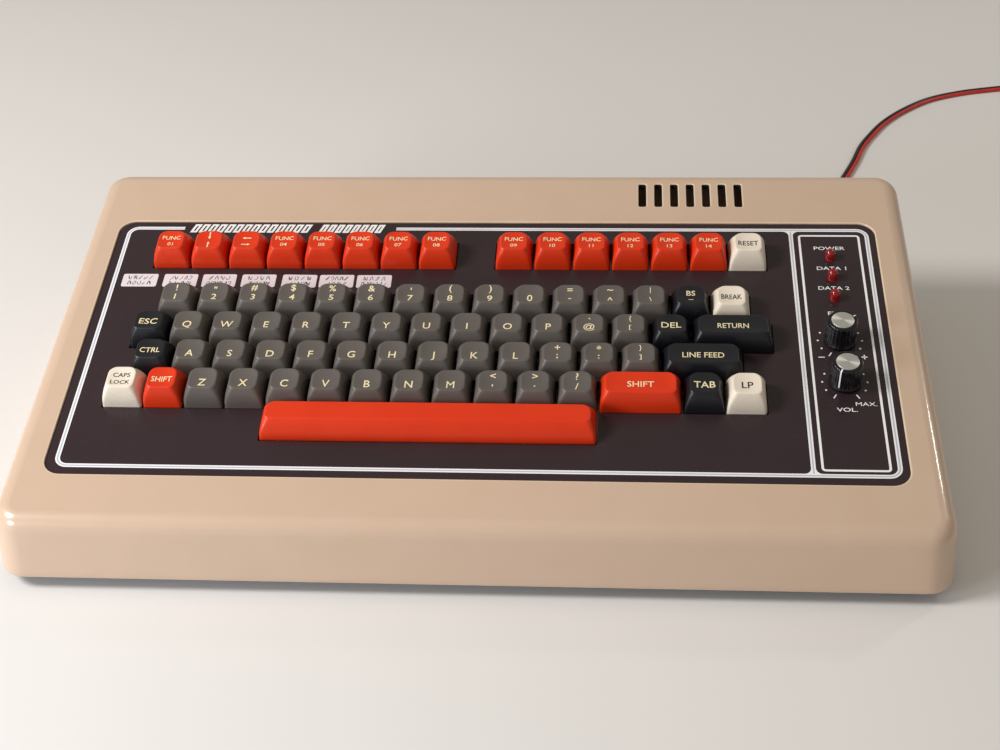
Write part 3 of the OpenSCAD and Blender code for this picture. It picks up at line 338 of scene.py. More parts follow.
def add_light(name, place, target, size, power, colour, spread=180):
    """Round soft light, in metres and watts; its cone is spread degrees wide."""
    data = bpy.data.lights.new(name, "AREA")
    data.shape, data.size, data.energy, data.color = "DISK", size, power, colour
    data.spread = radians(spread)
    obj = add_object(name, data)
    obj.location = place
    obj.rotation_euler = (Vector(target) - Vector(place)).to_track_quat("-Z", "Y").to_euler()


def add_world(colour, strength):
    world = bpy.data.worlds.new("studio")
    world.use_nodes = True
    back = world.node_tree.nodes["Background"]
    back.inputs["Color"].default_value = (*colour, 1)
    back.inputs["Strength"].default_value = strength
    bpy.context.scene.world = world


def add_floor():
    look = Look("floor_paint", "#e4e2df", rough=0.6)
    look.vary("#dedcd8", look.noise(3.0, 3))
    corners = [(x * FLOOR_REACH, y * FLOOR_REACH, 0) for x, y in ((-1, -1), (1, -1), (1, 1), (-1, 1))]
    floor = make_mesh("studio_floor", corners, [(0, 1, 2, 3)], "case", [look])


bpy.context.scene.view_settings.view_transform = "Standard"
add_camera()
add_floor()
add_world((1.0, 0.92, 0.81), 0.33)
add_light("key_light", (-1.05, -0.28, 1.05), (0.0, 0.0, 0.03), 0.5, 17.0, (1.0, 0.97, 0.96))
add_light("side_light", (-0.74, -0.68, 0.35), (-0.12, -0.1, 0.02), 0.34, 1.45, (0.84, 0.89, 1.0), 100)
add_light("edge_light", (0.85, 0.5, 0.62), (0.2, 0.0, 0.03), 0.105, 0.9, (1.0, 0.97, 0.88))

# Materials


def moulded(name, colour, tone, rough, grain=2200, depth=0.00002, coat=0.0, specular=0.5, rubbed=0.16):
    """Moulded plastic: two near tones in soft clouds, fine grain and a few rubbed places."""
    look = Look(name, colour, rough, coat=coat, specular=specular)
    look.vary(tone, look.noise(60, 3).ramp(0.35, 0.7))
    look.put("Roughness", rough + (look.noise(400, 3) - 0.5) * rubbed)
    return look.bump(look.noise(grain, 2), depth)


def metal(name, colour, rough=0.35):
    """Bare or painted metal with uneven polish."""
    look = Look(name, colour, rough, metal=1.0)
    return look.put("Roughness", rough + (look.noise(900, 3) - 0.5) * 0.25)


def printed(name, colour):
    """Screen-printed ink with slightly worn edges."""
    look = Look(name, colour, 0.45)
    return look.put("Roughness", 0.4 + look.noise(3000, 2) * 0.2)


def case_look():
    """Cream plastic with a soft gloss and sparse brown specks."""
    look = moulded("case_plastic", "#ccb199", "#caaf96", rough=0.34, grain=1500, depth=0.000004, coat=0.5,
                   rubbed=0.05)
    look.put("Coat Roughness", 0.08)
    return look.vary("#8f7a62", look.specks(150, 0.035) * 0.3)


def panel_look():
    """Dark brown lacquered sheet with fine pale dust."""
    look = Look("panel_lacquer", "#34272b", 0.25, specular=0.4)
    look.vary("#2c2023", look.noise(25, 3))
    look.vary("#8d8284", look.specks(420, 0.07) * look.noise(90, 2).ramp(0.45, 0.7) * 0.5)
    return look.put("Roughness", 0.22 + look.noise(140, 3) * 0.12)


def spun_look():
    """Turned aluminium. The surface map holds (turn from 0 to 1, radius): fine rings follow the radius, and
    the two bright fans of a turned face are a painted highlight that follows the turn, f = |cos(2 pi (turn -
    turn0))|^14."""
    look = Look("spun_aluminium", "#b3b2aa", 0.3, metal=0.5)
    groove = look.noise(9, 4, place=look.node("ShaderNodeCombineXYZ", 0, {"X": look.uv("Y")}))
    # Painted highlight: two bright fans along a fixed turn stand in for the light that a turned face catches.
    painted_highlight = ((look.uv("X") - HIGHLIGHT_TURN) * (2 * pi)).math("COSINE").math("ABSOLUTE").math("POWER", 14.0)
    look.vary("#fffdf4", painted_highlight * 0.85 + groove * 0.1)
    look.put("Roughness", 0.24 + groove * 0.16)
    return look.bump(groove, 0.00003)


# Turn of the painted highlight fans on the turned discs.
HIGHLIGHT_TURN = 0.94

case_plastic = case_look()
# Paler cream on the bevels round the panel recess and the vents: a painted highlight along those edges.
case_rim_painted_highlight = moulded("case_rim_painted_highlight", "#dcc6aa", "#d8c0a4", rough=0.3, coat=0.4)
panel_lacquer = panel_look()
key_red = moulded("key_red", "#d93610", "#d4330e", rough=0.36, coat=0.03, specular=0.35, rubbed=0.05)
key_grey = moulded("key_grey", "#5f5954", "#5a544e", rough=0.4, coat=0.03, specular=0.45, rubbed=0.06)
key_black = moulded("key_black", "#17181e", "#141419", rough=0.36, coat=0.03, specular=0.45, rubbed=0.06)
key_cream = moulded("key_cream", "#e8ddcb", "#e2d6c2", rough=0.38, specular=0.4, rubbed=0.06)
stem_black = moulded("stem_black", "#17171a", "#111114", rough=0.5)
ink_cream = printed("ink_cream", "#efdfb2")
ink_dark = printed("ink_dark", "#2a2522")
ink_white = printed("ink_white", "#f1f0ee")
# Blue-grey middle band of the three-line trim and of the divider, dimmer than the white bands beside it.
trim_middle_band = printed("trim_middle_blue_grey", "#b7bccb")
paper = printed("sticker_paper", "#dfd6d8")
pen_line = printed("pen_line", "#4c474d")
# Dark brown on the inner walls of the vent slots: painted shade where the slots are dark inside.
vent_shade = moulded("vent_wall_painted_shade", "#2c2224", "#251c1e", rough=0.6)
knob_black = moulded("knob_black", "#101012", "#0d0d0f", rough=0.24)
pointer_white = printed("pointer_white", "#f0efec")
spun = spun_look()
steel = metal("bright_steel", "#b9bbbd")
dark_steel = metal("painted_steel", "#23242b", 0.5)
aluminium = metal("aluminium", "#c8cacc", 0.4)
board_green = moulded("board_green", "#2f5a38", "#284e30", rough=0.3)
board_tan = moulded("board_tan", "#b08a4c", "#a27d42", rough=0.4)
rubber = moulded("feet_rubber", "#202024", "#19191c", rough=0.7)
cord_red = moulded("cord_red", "#c2281f", "#b4231b", rough=0.3)
cord_black = moulded("cord_black", "#18181b", "#121214", rough=0.3)
socket_white = moulded("socket_insulator", "#d8d2c4", "#cfc8b8", rough=0.45)
rocker_red = moulded("rocker_red", "#b3261c", "#a62219", rough=0.28)
speaker_grey = moulded("speaker_grey", "#46464a", "#3b3b3f", rough=0.6)
part_black = moulded("part_black", "#1b1b1d", "#141416", rough=0.45)


def lamp_look():
    """Red diffused lens, unlit: deep at the rim and lighter where the domed top catches light, with a faint
    painted red glow as emission.
    """
    look = Look("lamp_lens", "#93100f", 0.14, coat=0.5)
    look.vary("#6c090a", look.noise(500, 2))
    # Painted glow: a faint red emission on the unlit lens.
    look.put("Emission Color", rgb("#a01010"))
    return look.put("Emission Strength", 0.05)


lamp_red = lamp_look()

# Case

# Height of the rear wall from the rounded foot to the shoulder, and width of the flat rim round the slope.
REAR_RISE, FLAT_EDGE = 65.4, 0.6
PANEL_BEVEL, VENT_BEVEL, LEDGE_R, LEDGE_T = 0.5, 0.45, 4.5, 2
VENTS, VENT_W, VENT_L, VENT_PITCH, VENT_IN, VENT_GAP, VENT_R = 7, 3.9, 17.6, 8.1, 67.0, 12.8, 0.975


def case_loops():
    """Closed loops from the inner lip, up the drafted wall and over the shoulder to the flat slope.

    At plan angle a a wall that leans in by draft d has the normal (cos a cos d, sin a cos d, sin d). Written
    in the slope's frame it gives the angle a' round the corner and the angle f0 up the shoulder where wall
    and shoulder touch: sin f0 = n.N, tan a' = n.V / n.X. The shoulder is the torus
    c + (R - r + r cos f)(cos a', sin a') at w = -r + r sin f, for f from f0 to 90 degrees.
    """
    per_corner, foot_r, lip_h = 12, 0.5, 7
    corners = [(1, -1, FRONT_R), (1, 1, REAR_R), (-1, 1, REAR_R), (-1, -1, FRONT_R)]
    between = [16, 60, 16, 60]
    foot, normal, shoulder = [], [], []
    rise = np.linspace(0, 1, 9)
    for k, (sx, sy, radius) in enumerate(corners):
        a = np.radians(np.linspace(-90 + 90 * k, 90 * k, per_corner))
        draft = SIDE_DRAFT * np.cos(a) ** 2 + DRAFT * np.sin(a) ** 2
        n = np.stack([np.cos(a) * np.cos(draft), np.sin(a) * np.cos(draft), np.sin(draft)], 1)
        f0 = np.arcsin(n @ np.array([0, -SIN, COS]))
        a1 = np.arctan2(n @ np.array([0, COS, SIN]), n[:, 0])
        v_mid = radius if sy < 0 else SLOPE_L - radius
        lean = tan(SIDE_DRAFT) * (FRONT_Z + v_mid * SIN - EDGE_R * COS - SHELL_Z)
        centre = np.array([sx * (CASE_W / 2 - lean - radius), v_mid])
        f = f0[None] + (pi / 2 - f0[None]) * rise[:, None]
        reach = radius - EDGE_R + EDGE_R * np.cos(f)
        shoulder.append(at(centre[0] + reach * np.cos(a1), centre[1] + reach * np.sin(a1),
                           -EDGE_R + EDGE_R * np.sin(f)))
        plan = np.stack([np.cos(a), np.sin(a), 0 * a], 1)
        normal.append(plan)
        corner = np.array([sx * (CASE_W / 2 - radius), sy * (CASE_D / 2 - radius), SHELL_Z])
        foot.append(corner + radius * plan)

    def joined(parts):
        out = []
        for k, part in enumerate(parts):
            follow = parts[(k + 1) % 4]
            t = np.linspace(0, 1, between[k] + 2)[1:-1, None]
            out += [part, part[..., -1:, :] * (1 - t) + follow[..., :1, :] * t]
        return np.concatenate(out, -2)

    foot, normal, shoulder = joined(foot), joined(normal), joined(shoulder)
    up = np.array([0, 0, 1.0])
    loops = [foot - WALL * normal + lip_h * up, foot - WALL * normal, foot - foot_r * normal]
    loops += [foot - foot_r * (1 - sin(t)) * normal + foot_r * (1 - cos(t)) * up
              for t in (0.5, 1.0)]
    low = foot + foot_r * up
    levels = (SHELL_Z + foot_r, BAY_LOW, 24, 34, 45, BAY_HIGH, 64)
    loops += [low + (shoulder[0] - low) * ((z - SHELL_Z - foot_r) / REAR_RISE) for z in levels]
    return loops, list(shoulder)


def recess_ring(loop, bevel, depth):
    """Rings in the slope's frame round an opening: quarter bevel (b (1 - sin f), -b (1 - cos f)), out of the
    opening and up, then a wall downwards."""
    middle = loop.mean(0)
    turn = np.roll(loop, -1, 0) - np.roll(loop, 1, 0)
    out = np.stack([turn[:, 1], -turn[:, 0]], 1) / np.linalg.norm(turn, axis=1)[:, None]
    if ((loop - middle) * out).sum() < 0:
        out = -out
    rings = [(loop + 1.5 * bevel * out, 0.0), (loop + bevel * out, 0.0)]
    rings += [(loop + bevel * (1 - sin(f)) * out, -bevel * (1 - cos(f)))
              for f in (0.4, 0.8, 1.2, 1.57)]
    return rings + [(loop, -depth)]


def build_case():
    """Upper half of the case as one skin: walls and shoulder, the bay in the rear wall, and the slope with
    its recess and vents."""
    shape = Shape()
    wall, shoulder = case_loops()
    n = len(wall[0])
    grid = np.array(wall + shoulder)
    # Rear wall: the columns next to the bay are moved onto its sides, and its cells are left open. The first
    # five loops are the inner lip and the rounded foot.
    foot = 5
    rear = np.where((grid[foot, :, 1] > CASE_D / 2 - 2) & (np.abs(grid[foot, :, 0]) < CASE_W / 2 - REAR_R))[0]
    low_row = next(i for i in range(foot, len(wall)) if grid[i, rear[0], 2] > BAY_LOW - 0.2)
    high_row = next(i for i in range(foot, len(wall)) if grid[i, rear[0], 2] > BAY_HIGH - 0.4)
    sides = [min(rear, key=lambda k: abs(grid[low_row, k, 0] - x)) for x in (BAY_HALF, -BAY_HALF)]
    for k, x in zip(sides, (BAY_HALF, -BAY_HALF)):
        grid[low_row:high_row + 1, k, 0] = x
    for row, z in ((low_row, BAY_LOW), (high_row, BAY_HIGH)):
        grid[row, rear, 2] = z
    first, last = sorted(sides)
    faces = []
    for i in range(len(grid) - 1):
        for k in range(n):
            if not (low_row <= i < high_row and first <= k < last):
                faces.append((i * n + k, i * n + (k + 1) % n, (i + 1) * n + (k + 1) % n, (i + 1) * n + k))
    shape.add(grid.reshape(-1, 3), faces)
    # Bay walls, from the edges of that opening back to the rear panel, with a ring close to the edge.
    rim = np.concatenate([grid[low_row, first:last + 1], grid[low_row:high_row + 1, last],
                          grid[high_row, first:last + 1][::-1], grid[low_row:high_row + 1, first][::-1]])
    back = rim.copy()
    back[:, 1] = BAY_BACK
    shape.loft([rim, rim * [1, 0, 1] + [0, 1, 0] * (rim * 0.96 + back * 0.04), back])
    # Flat slope with the recess of the panel and the vents.
    outer = np.stack([grid[-1][:, 0], (grid[-1][:, 1] - FRONT_Y) / COS], 1)
    middle = np.array([0, SLOPE_L / 2])
    rim_in = outer + (middle - outer) / np.abs(middle - outer).max(1)[:, None] * FLAT_EDGE
    shape.loft([lifted(outer), lifted(rim_in)])
    half, low, depth = PANEL_W / 2 + PANEL_GAP, PANEL_V, PANEL_SINK + PANEL_T
    recess = rounded(-half, half, low, low + PANEL_D + 2 * PANEL_GAP, [PANEL_R] * 4, 10)
    rings = [recess_ring(recess, PANEL_BEVEL, depth)]
    first_x = CONTROL_X - VENT_IN - (VENTS - 1) * VENT_PITCH / 2
    v0 = PANEL_V + PANEL_D + VENT_GAP
    for i in range(VENTS):
        x = first_x + i * VENT_PITCH
        vent = rounded(x - VENT_W / 2, x + VENT_W / 2, v0, v0 + VENT_L, [VENT_R] * 4, 5)
        rings.append(recess_ring(vent, VENT_BEVEL, WALL))
    flat, triangles = fill([rim_in] + [r[0][0] for r in rings])
    shape.add(lifted(flat), triangles)
    for k, ring in enumerate(rings):
        loops = [lifted(p, w) for p, w in ring]
        # The bevel rings take the paler rim colour, a painted highlight along the edges of the openings.
        shape.loft(loops[:-1], 1)
        # The walls of the vent slots take the dark painted shade; the wall of the panel recess stays cream.
        shape.loft(loops[-2:], 2 if k else 0)
    ledge = rounded(-half + LEDGE_W, half - LEDGE_W, low + LEDGE_W, low + PANEL_D - LEDGE_W, [LEDGE_R] * 4,
                    10)
    shape.loft([lifted(recess, -depth), lifted(ledge, -depth), lifted(ledge, -depth - LEDGE_T)])
    case = shape.mesh("case_shell", "case", [case_plastic, case_rim_painted_highlight, vent_shade])
    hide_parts("upper_case")


build_case()

# Lettering: height of the capitals, and how far the strokes are thickened, at size 1. The letter M takes no
# thickening, because it would cross itself.

CAPITAL, BOLD = 0.74, 0.008
glyphs = {}


def lettering(text, height):
    """Points and faces of a line of plain sans lettering, with its capitals as tall as asked, centred on
    0, 0."""
    if text not in glyphs:
        curve = bpy.data.curves.new("lettering", "FONT")
        curve.body, curve.size, curve.resolution_u = text, 1.0, 3
        curve.offset = 0.0 if "M" in text else BOLD
        holder = add_object("lettering", curve)
        bpy.context.view_layer.update()
        live = holder.evaluated_get(bpy.context.evaluated_depsgraph_get())
        mesh = bpy.data.meshes.new_from_object(live)
        points = np.zeros(len(mesh.vertices) * 3)
        mesh.vertices.foreach_get("co", points)
        glyphs[text] = (points.reshape(-1, 3)[:, :2], [tuple(p.vertices) for p in mesh.polygons])
        bpy.data.objects.remove(holder)
        bpy.data.curves.remove(curve)
        bpy.data.meshes.remove(mesh)
    points, faces = glyphs[text]
    middle = (points.max(0) + points.min(0)) / 2
    if len(text) > 1 or text.isalnum():
        middle[1] = CAPITAL / 2
    return (points - middle) * (height / CAPITAL), faces


# Keys

# Height of each row's caps at the front and at the rear.
TOPS = [(9.5, 9.3), (10.5, 10.8), (10.3, 9.9), (10.5, 9.6), (10.1, 10.3), (10.8, 11.0)]
CAP_LOW, SIDE_IN, FRONT_IN, REAR_IN = -1.0, 2.6, 2.9, 2.8
DISH, DISH_SOFT, EDGE, CAP_WALL, BULGE = 0.7, 0.03, 1.0, 1.4, 2.0
BAR_FRONT_IN, BAR_LOW_REAR, BAR_BULGE, BAR_UNITS = 5.0, 1.2, 1.7, 8
CORNER_LOW, CORNER_GROWTH = 1.2, (1.4, 3.2)
STEM_HALF, STEM_LOW = 2.8, -7.4
HOOK_AT, HOOK_T = 60.0, 1.6
# The four sides of the slot in a hook of the space bar: from and to along y, then along z.
HOOK_PARTS = [(6.5, 12.5, -1.55, 7.6), (6.5, 12.5, -4.4, -3.45), (6.5, 8.15, -3.45, -1.55),
              (10.81, 12.5, -3.45, -1.55)]
CAP_SLOT, STEM_SLOT, INK_SLOT = range(3)


class Cap:
    """One key cap in its own frame: x from its left, y from its front, z from the panel's face.

    The skirt is drawn in by the share t^2 of its inset at the share t of its height, on the front of the
    space bar by t^1.7, and its corners widen upwards. A round edge starts at the skirt's lean and ends level.
    The top is the plane h(y) = front + (rear - front) y / depth, less a dish of depth D f(q) with
    q = 1 - 0.9 (x^2 + y^2) / b^2 from the middle of the top, b half its depth, and
    f(q) = (q + sqrt(q^2 + 0.03)) / 2. On wide caps x counts from the ends of a level run.
    """

    def __init__(self, left, row, width=1):
        self.row, self.w, self.d = row, width * UNIT - CAP_GAP, CAP_D
        self.x = FIELD_X + left * UNIT + CAP_GAP / 2
        self.v = ROW_V[row] + CAP_GAP / 2
        self.front, self.rear = TOPS[row]
        self.bar = width == BAR_UNITS
        self.front_in = BAR_FRONT_IN if self.bar else FRONT_IN
        self.mid = (self.front + self.rear) / 2
        self.lean = atan((BAR_BULGE * BAR_FRONT_IN if self.bar else BULGE * SIDE_IN) / self.mid)

    def height(self, y):
        return self.front + (self.rear - self.front) * y / self.d

    def place(self, x, y, z):
        return on_panel(self.x + x, self.v + y, z)

    def outline(self, t, inset=0.0):
        """Loop at the share t of the height, drawn in by an inset. Its corners widen with t."""
        up = max(t, 0.0)
        drawn = up ** BULGE + min(t, 0.0)
        bow = self.front_in * (up ** BAR_BULGE - drawn) if self.bar else 0.0
        x, y0, y1 = SIDE_IN * drawn + inset, self.front_in * drawn + bow + inset, REAR_IN * drawn + inset
        front, rear = (max(CORNER_LOW + r * up ** 1.7 - inset, 0.15) for r in CORNER_GROWTH)
        sides = (round(self.w / 2.4), 6)
        return rounded(x, self.w - x, y0, self.d - y1, [front, rear, rear, front], 7, sides)

    def dish(self, x, y):
        """Depth of the finger dish; on wide caps it runs along the row and fades at the ends."""
        if self.bar:
            return 0 * x
        half_x, half_y = self.w / 2 - SIDE_IN, (self.d - self.front_in - REAR_IN) / 2
        u = np.abs(x - self.w / 2) - max(half_x - half_y, 0)
        q = 1 - (np.maximum(u, 0) / half_y) ** 2 * 0.9 - ((y - self.front_in - half_y) / half_y) ** 2 * 0.9
        return DISH * (q + np.sqrt(q * q + DISH_SOFT)) / 2

    def top(self, x, y):
        return self.height(y) - self.dish(x, y)

    def build(self, shape):
        """Skin from the inside over the foot, up the skirt, round the edge and in to the middle of the top,
        with the stem below and, on the space bar, two slotted hooks."""
        mid, loops = self.mid, []

        def add(loop, z):
            loops.append(self.place(loop[:, 0], loop[:, 1], z))

        def level(loop, t):
            z = CAP_LOW + (self.height(loop[:, 1]) - CAP_LOW) * (t * mid - CAP_LOW) / (mid - CAP_LOW)
            return np.where(loop[:, 1] > self.d * 0.6, np.maximum(z, BAR_LOW_REAR), z) if self.bar else z

        low = CAP_LOW / mid
        add(self.outline(0.55, CAP_WALL), 0.55 * mid)
        inner = self.outline(low, CAP_WALL)
        add(inner, level(inner, low))
        for inset in (0.2, 0.0):
            rim = self.outline(low, inset)
            add(rim, level(rim, low))
        last = 1 - EDGE * (1 - sin(self.lean)) / mid
        for t in np.linspace(0.0, last, 9):
            ring = self.outline(t)
            add(ring, level(ring, t))
        for f in np.linspace(self.lean, pi / 2, 6)[1:]:
            ring = self.outline(last, EDGE * (cos(self.lean) - cos(f)))
            share = (sin(f) - sin(self.lean)) / (1 - sin(self.lean))
            dish = self.dish(ring[:, 0], ring[:, 1]) * share ** 2
            add(ring, self.height(ring[:, 1]) - EDGE * (1 - sin(f)) - dish)
        rim = self.outline(last, EDGE * cos(self.lean))
        middle = np.array([self.w / 2, (self.front_in + self.d - REAR_IN) / 2])
        run = np.array([max(self.w / 2 - SIDE_IN - 5, 0), 0])
        spine = np.clip(rim, middle - run, middle + run)
        for s in (0.9, 0.78, 0.62, 0.44, 0.26, 0.1):
            ring = spine + (rim - spine) * s
            add(ring, self.top(ring[:, 0], ring[:, 1]))
        shape.loft(loops, CAP_SLOT, first=True, last=True)
        half, x, y = STEM_HALF, self.w / 2, self.d / 2
        stem_high = mid - 2 * CAP_WALL
        shape.box((x - half, y - half, STEM_LOW), (x + half, y + half, stem_high), self.place, STEM_SLOT)
        for hook in (x - HOOK_AT, x + HOOK_AT) if self.bar else ():
            for y0, y1, z0, z1 in HOOK_PARTS:
                shape.box((hook - HOOK_T / 2, y0, z0), (hook + HOOK_T / 2, y1, z1), self.place, CAP_SLOT)

    def write(self, shape, text, height, y, fit=None, wide=1.0):
        """Lettering across the middle of the top, at y as a share of the flat top from its front, made
        narrower where it is wider than fit."""
        points, faces = arrow(text) if text in ARROWS else lettering(text, height)
        points = points * [wide, 1]
        if fit:
            points = points * [min(1.0, fit / np.ptp(points[:, 0])), 1]
        x = SIDE_IN + (self.w - 2 * SIDE_IN) * 0.5 + points[:, 0]
        y = self.front_in + (self.d - self.front_in - REAR_IN) * y + points[:, 1]
        shape.add(self.place(x, y, self.top(x, y) + INK), faces, INK_SLOT)


INK = 0.06
ARROWS = {"down": -90, "up": 90, "left": 180, "right": 0}


def arrow(way):
    """Arrow 4.4 mm long about 0, 0: a shaft in short pieces, so that it follows the dish, and a head."""
    along, half = np.array([-2.2, -1.5, -0.8, -0.1, 0.6, 1.1]), 0.28
    shaft = np.vstack([np.stack([along, 0 * along - half], 1), np.stack([along, 0 * along + half], 1)])
    n = len(along)
    faces = [(i, i + 1, n + i + 1, n + i) for i in range(n - 1)] + [(2 * n, 2 * n + 1, 2 * n + 2)]
    points = np.vstack([shaft, [(0.8, -0.8), (2.2, 0), (0.8, 0.8)]])
    c, s = cos(radians(ARROWS[way])), sin(radians(ARROWS[way]))
    return points @ np.array([[c, s], [-s, c]]), faces


def legend(cap, shape, text):
    """Legend of a key: arrows, a wide line, two lines one above the other, one word or one letter."""
    lines = text.split("\n")
    words = text.split(" ")
    if words[0] in ARROWS:
        upright = words[0] == "down"
        for word, y in zip(words, (0.75, 0.22) if upright else (0.62, 0.24)):
            cap.write(shape, word, 1, y)
    elif cap.w > 1.5 * UNIT:
        cap.write(shape, text, WIDE_TEXT, 0.44, fit=min(2.4 * len(text), 19.0))
    elif len(lines) == 2 and len(text) > 3:
        for word, y in zip(lines, (0.62, 0.26)):
            cap.write(shape, word, FINE_TEXT if len(text) > 4 else SHORT_TEXT, y, fit=9.0)
    elif len(lines) == 2:
        share = 0.72 if lines[1] in "[]\\" else 1.0
        cap.write(shape, lines[0], UPPER_SIGN * share, 0.75)
        cap.write(shape, lines[1], LOWER_SIGN * share, 0.27)
    elif len(text) > 1:
        cap.write(shape, text, WORD if len(text) < 4 else LONG_WORD, 0.44, fit=9.6)
    else:
        cap.write(shape, text, LETTER, 0.3, wide=0.87)


def build_keys(node, look, keys, ink=None):
    """One node's caps, as (left edge in units, row, width in units, legend), with their legends."""
    shape = Shape()
    for left, row, width, text in keys:
        cap = Cap(left, row, width)
        cap.build(shape)
        if text:
            legend(cap, shape, text)
    caps = shape.mesh(node + "_caps", node, [look, stem_black, ink or ink_cream])
    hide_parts(node)


BAR, LOWER, HOME, UPPER, DIGIT, FUNCTION = range(6)
# Heights of the capitals in the legends.
WIDE_TEXT, FINE_TEXT, SHORT_TEXT, UPPER_SIGN, LOWER_SIGN = 3.6, 2.6, 3.3, 3.9, 4.2
WORD, LONG_WORD, LETTER = 4.1, 3.4, 4.8


def bank(start, row, legends):
    """Keys of one unit in a row, from a left edge in units."""
    return [(start + i, row, 1, text) for i, text in enumerate(legends)]


SINGLE_KEYS = [
    ("reset_key", key_cream, (15.25, FUNCTION, 1, "RESET")),
    ("backspace_key", key_black, (13.75, DIGIT, 1, "BS\n_")),
    ("break_key", key_cream, (14.75, DIGIT, 1, "BREAK")),
    ("escape_key", key_black, (0.25, UPPER, 1, "ESC")),
    ("delete_key", key_black, (13.25, UPPER, 1, "DEL")),
    ("return_key", key_black, (14.25, UPPER, 2, "RETURN")),
    ("control_key", key_black, (0.5, HOME, 1, "CTRL")),
    ("line_feed_key", key_black, (13.5, HOME, 2, "LINE FEED")),
    ("caps_lock_key", key_cream, (0, LOWER, 1, "CAPS\nLOCK")),
    ("left_shift_key", key_red, (1, LOWER, 1, "SHIFT")),
    ("right_shift_key", key_red, (12, LOWER, 2, "SHIFT")),
    ("tab_key", key_black, (14, LOWER, 1, "TAB")),
    ("print_key", key_cream, (15, LOWER, 1, "LP")),
    ("space_bar", key_red, (4, BAR, BAR_UNITS, "")),
]
FUNCTION_LEGENDS = {2: "down up", 3: "left right"}
for node, look, key in SINGLE_KEYS:
    build_keys(node, look, [key], ink_dark if look is key_cream else ink_cream)
for i in range(14):
    start = 0.25 + i if i < 8 else 1.25 + i
    text = FUNCTION_LEGENDS.get(i + 1, f"FUNC\n{i + 1:02d}")
    build_keys(f"function_key_{i + 1}", key_red, [(start, FUNCTION, 1, text)])
build_keys("digit_keys", key_grey, bank(0.75, DIGIT, [
    "!\n1", '"\n2', "#\n3", "$\n4", "%\n5", "&\n6", "'\n7", "(\n8", ")\n9", "0", "=\n-", "~\n^", "|\n\\"]))
build_keys("upper_letter_keys", key_grey, bank(1.25, UPPER, list("QWERTYUIOP") + ["`\n@", "{\n["]))
build_keys("home_letter_keys", key_grey, bank(1.5, HOME, list("ASDFGHJKL") + ["+\n;", "*\n:", "}\n]"]))
build_keys("lower_letter_keys", key_grey, bank(2, LOWER, list("ZXCVBNM") + ["<\n,", ">\n.", "?\n/"]))

# Print on the panel

PRINT, WIDEN = 0.03, 1.3
TRIM = (-186.75, 187.85, 33.8, 194.8)
TRIM_W, TRIM_R = 2.1, 6.0
TITLE_GAP = (-157.35, -48.25)
# Left end, pitch and number of the blocks in each word of the title.
TITLE_WORDS = ((-152.55, 4.4, 14), (-86.3, 4.1, 8))
TITLE_HALF, TITLE_SLANT, TITLE_SPACE, TITLE_LINE = 2.5, 0.9, 2.2, 1.25
DIVIDER_X, DIVIDER_W, DIVIDER_R = 149.65, 2.1, 3.0
COLUMN, COLUMN_R, COLUMN_LINE = (153.1, 183.25, 37.4, 190.2), 1.9, 1.1
# Words beside the lamps and knobs, and how far up the slope.
LABELS = (("POWER", 180.6), ("DATA 1", 166.2), ("DATA 2", 152.3), ("FINE", 135.0), ("VOL.", 73.6))
LABEL_H, SCALE_R, SCALE_DOT, SCALE_TICK, SCALE_LINE = 2.5, 10.2, 0.5, (9.0, 11.6), 0.55
# Left and right ends of the stickers from the left of the keys, and their front and rear edges.
STICKERS = ((-8.8, 8.9), (12.0, 29.0), (31.6, 48.5), (51.3, 68.4), (71.6, 88.8), (90.2, 107.3),
            (108.8, 126.0))
STICKER_V, STICKER_R, PEN_W, PEN_LIFT = (150.4, 159.4), 1.0, 0.32, 0.17


def on_sheet(points, w=PRINT):
    """World millimetres of (x, v) pairs just above the panel's face."""
    return on_panel(points[:, 0], points[:, 1], w)


def strip(shape, first, second, slot, w=PRINT, closed=False):
    """Flat band between two lines of equally many points on the panel."""
    shape.loft([on_sheet(np.asarray(p, float), w) for p in (first, second)], slot, closed=closed)


def line(shape, points, width, slot, w=PRINT, closed=False):
    """Band of even width along a line, with mitred turns: p +- m width / 2, m = (n1 + n2) / (1 + n1.n2),
    where the divisor is at least 0.6, so that no sharp turn grows a spike."""
    p = np.asarray(points, float)
    d = np.roll(p, -1, 0) - p if closed else np.diff(p, axis=0)
    n = np.stack([-d[:, 1], d[:, 0]], 1) / np.linalg.norm(d, axis=1)[:, None]
    a = np.roll(n, 1, 0) if closed else np.vstack([n[:1], n])
    b = n if closed else np.vstack([n, n[-1:]])
    mitre = (a + b) / np.maximum(1 + (a * b).sum(1), 0.6)[:, None]
    strip(shape, p + mitre * width / 2, p - mitre * width / 2, slot, w, closed)


def spot(shape, x, v, radius):
    ring = circle(radius, 14) + [x, v]
    shape.add(on_sheet(ring), [tuple(range(len(ring)))])


def label(shape, text, x, v, height):
    """Wide capitals on the panel."""
    points, faces = lettering(text, height)
    shape.add(on_sheet([x, v] + points * [WIDEN, 1]), faces)


def fillet(shape, x, v, sx, sv, radius):
    """Hollow corner between two lines that meet at x, v; it opens towards sx, sv."""
    a = np.radians(np.linspace(0, 90, 7))
    arc = np.stack([x + sx * radius * (1 - np.sin(a)), v + sv * radius * (1 - np.cos(a))], 1)
    points = np.vstack([[x, v], arc])
    faces = [(0, i, i + 1) for i in range(1, 7)]
    shape.add(on_sheet(points), faces)


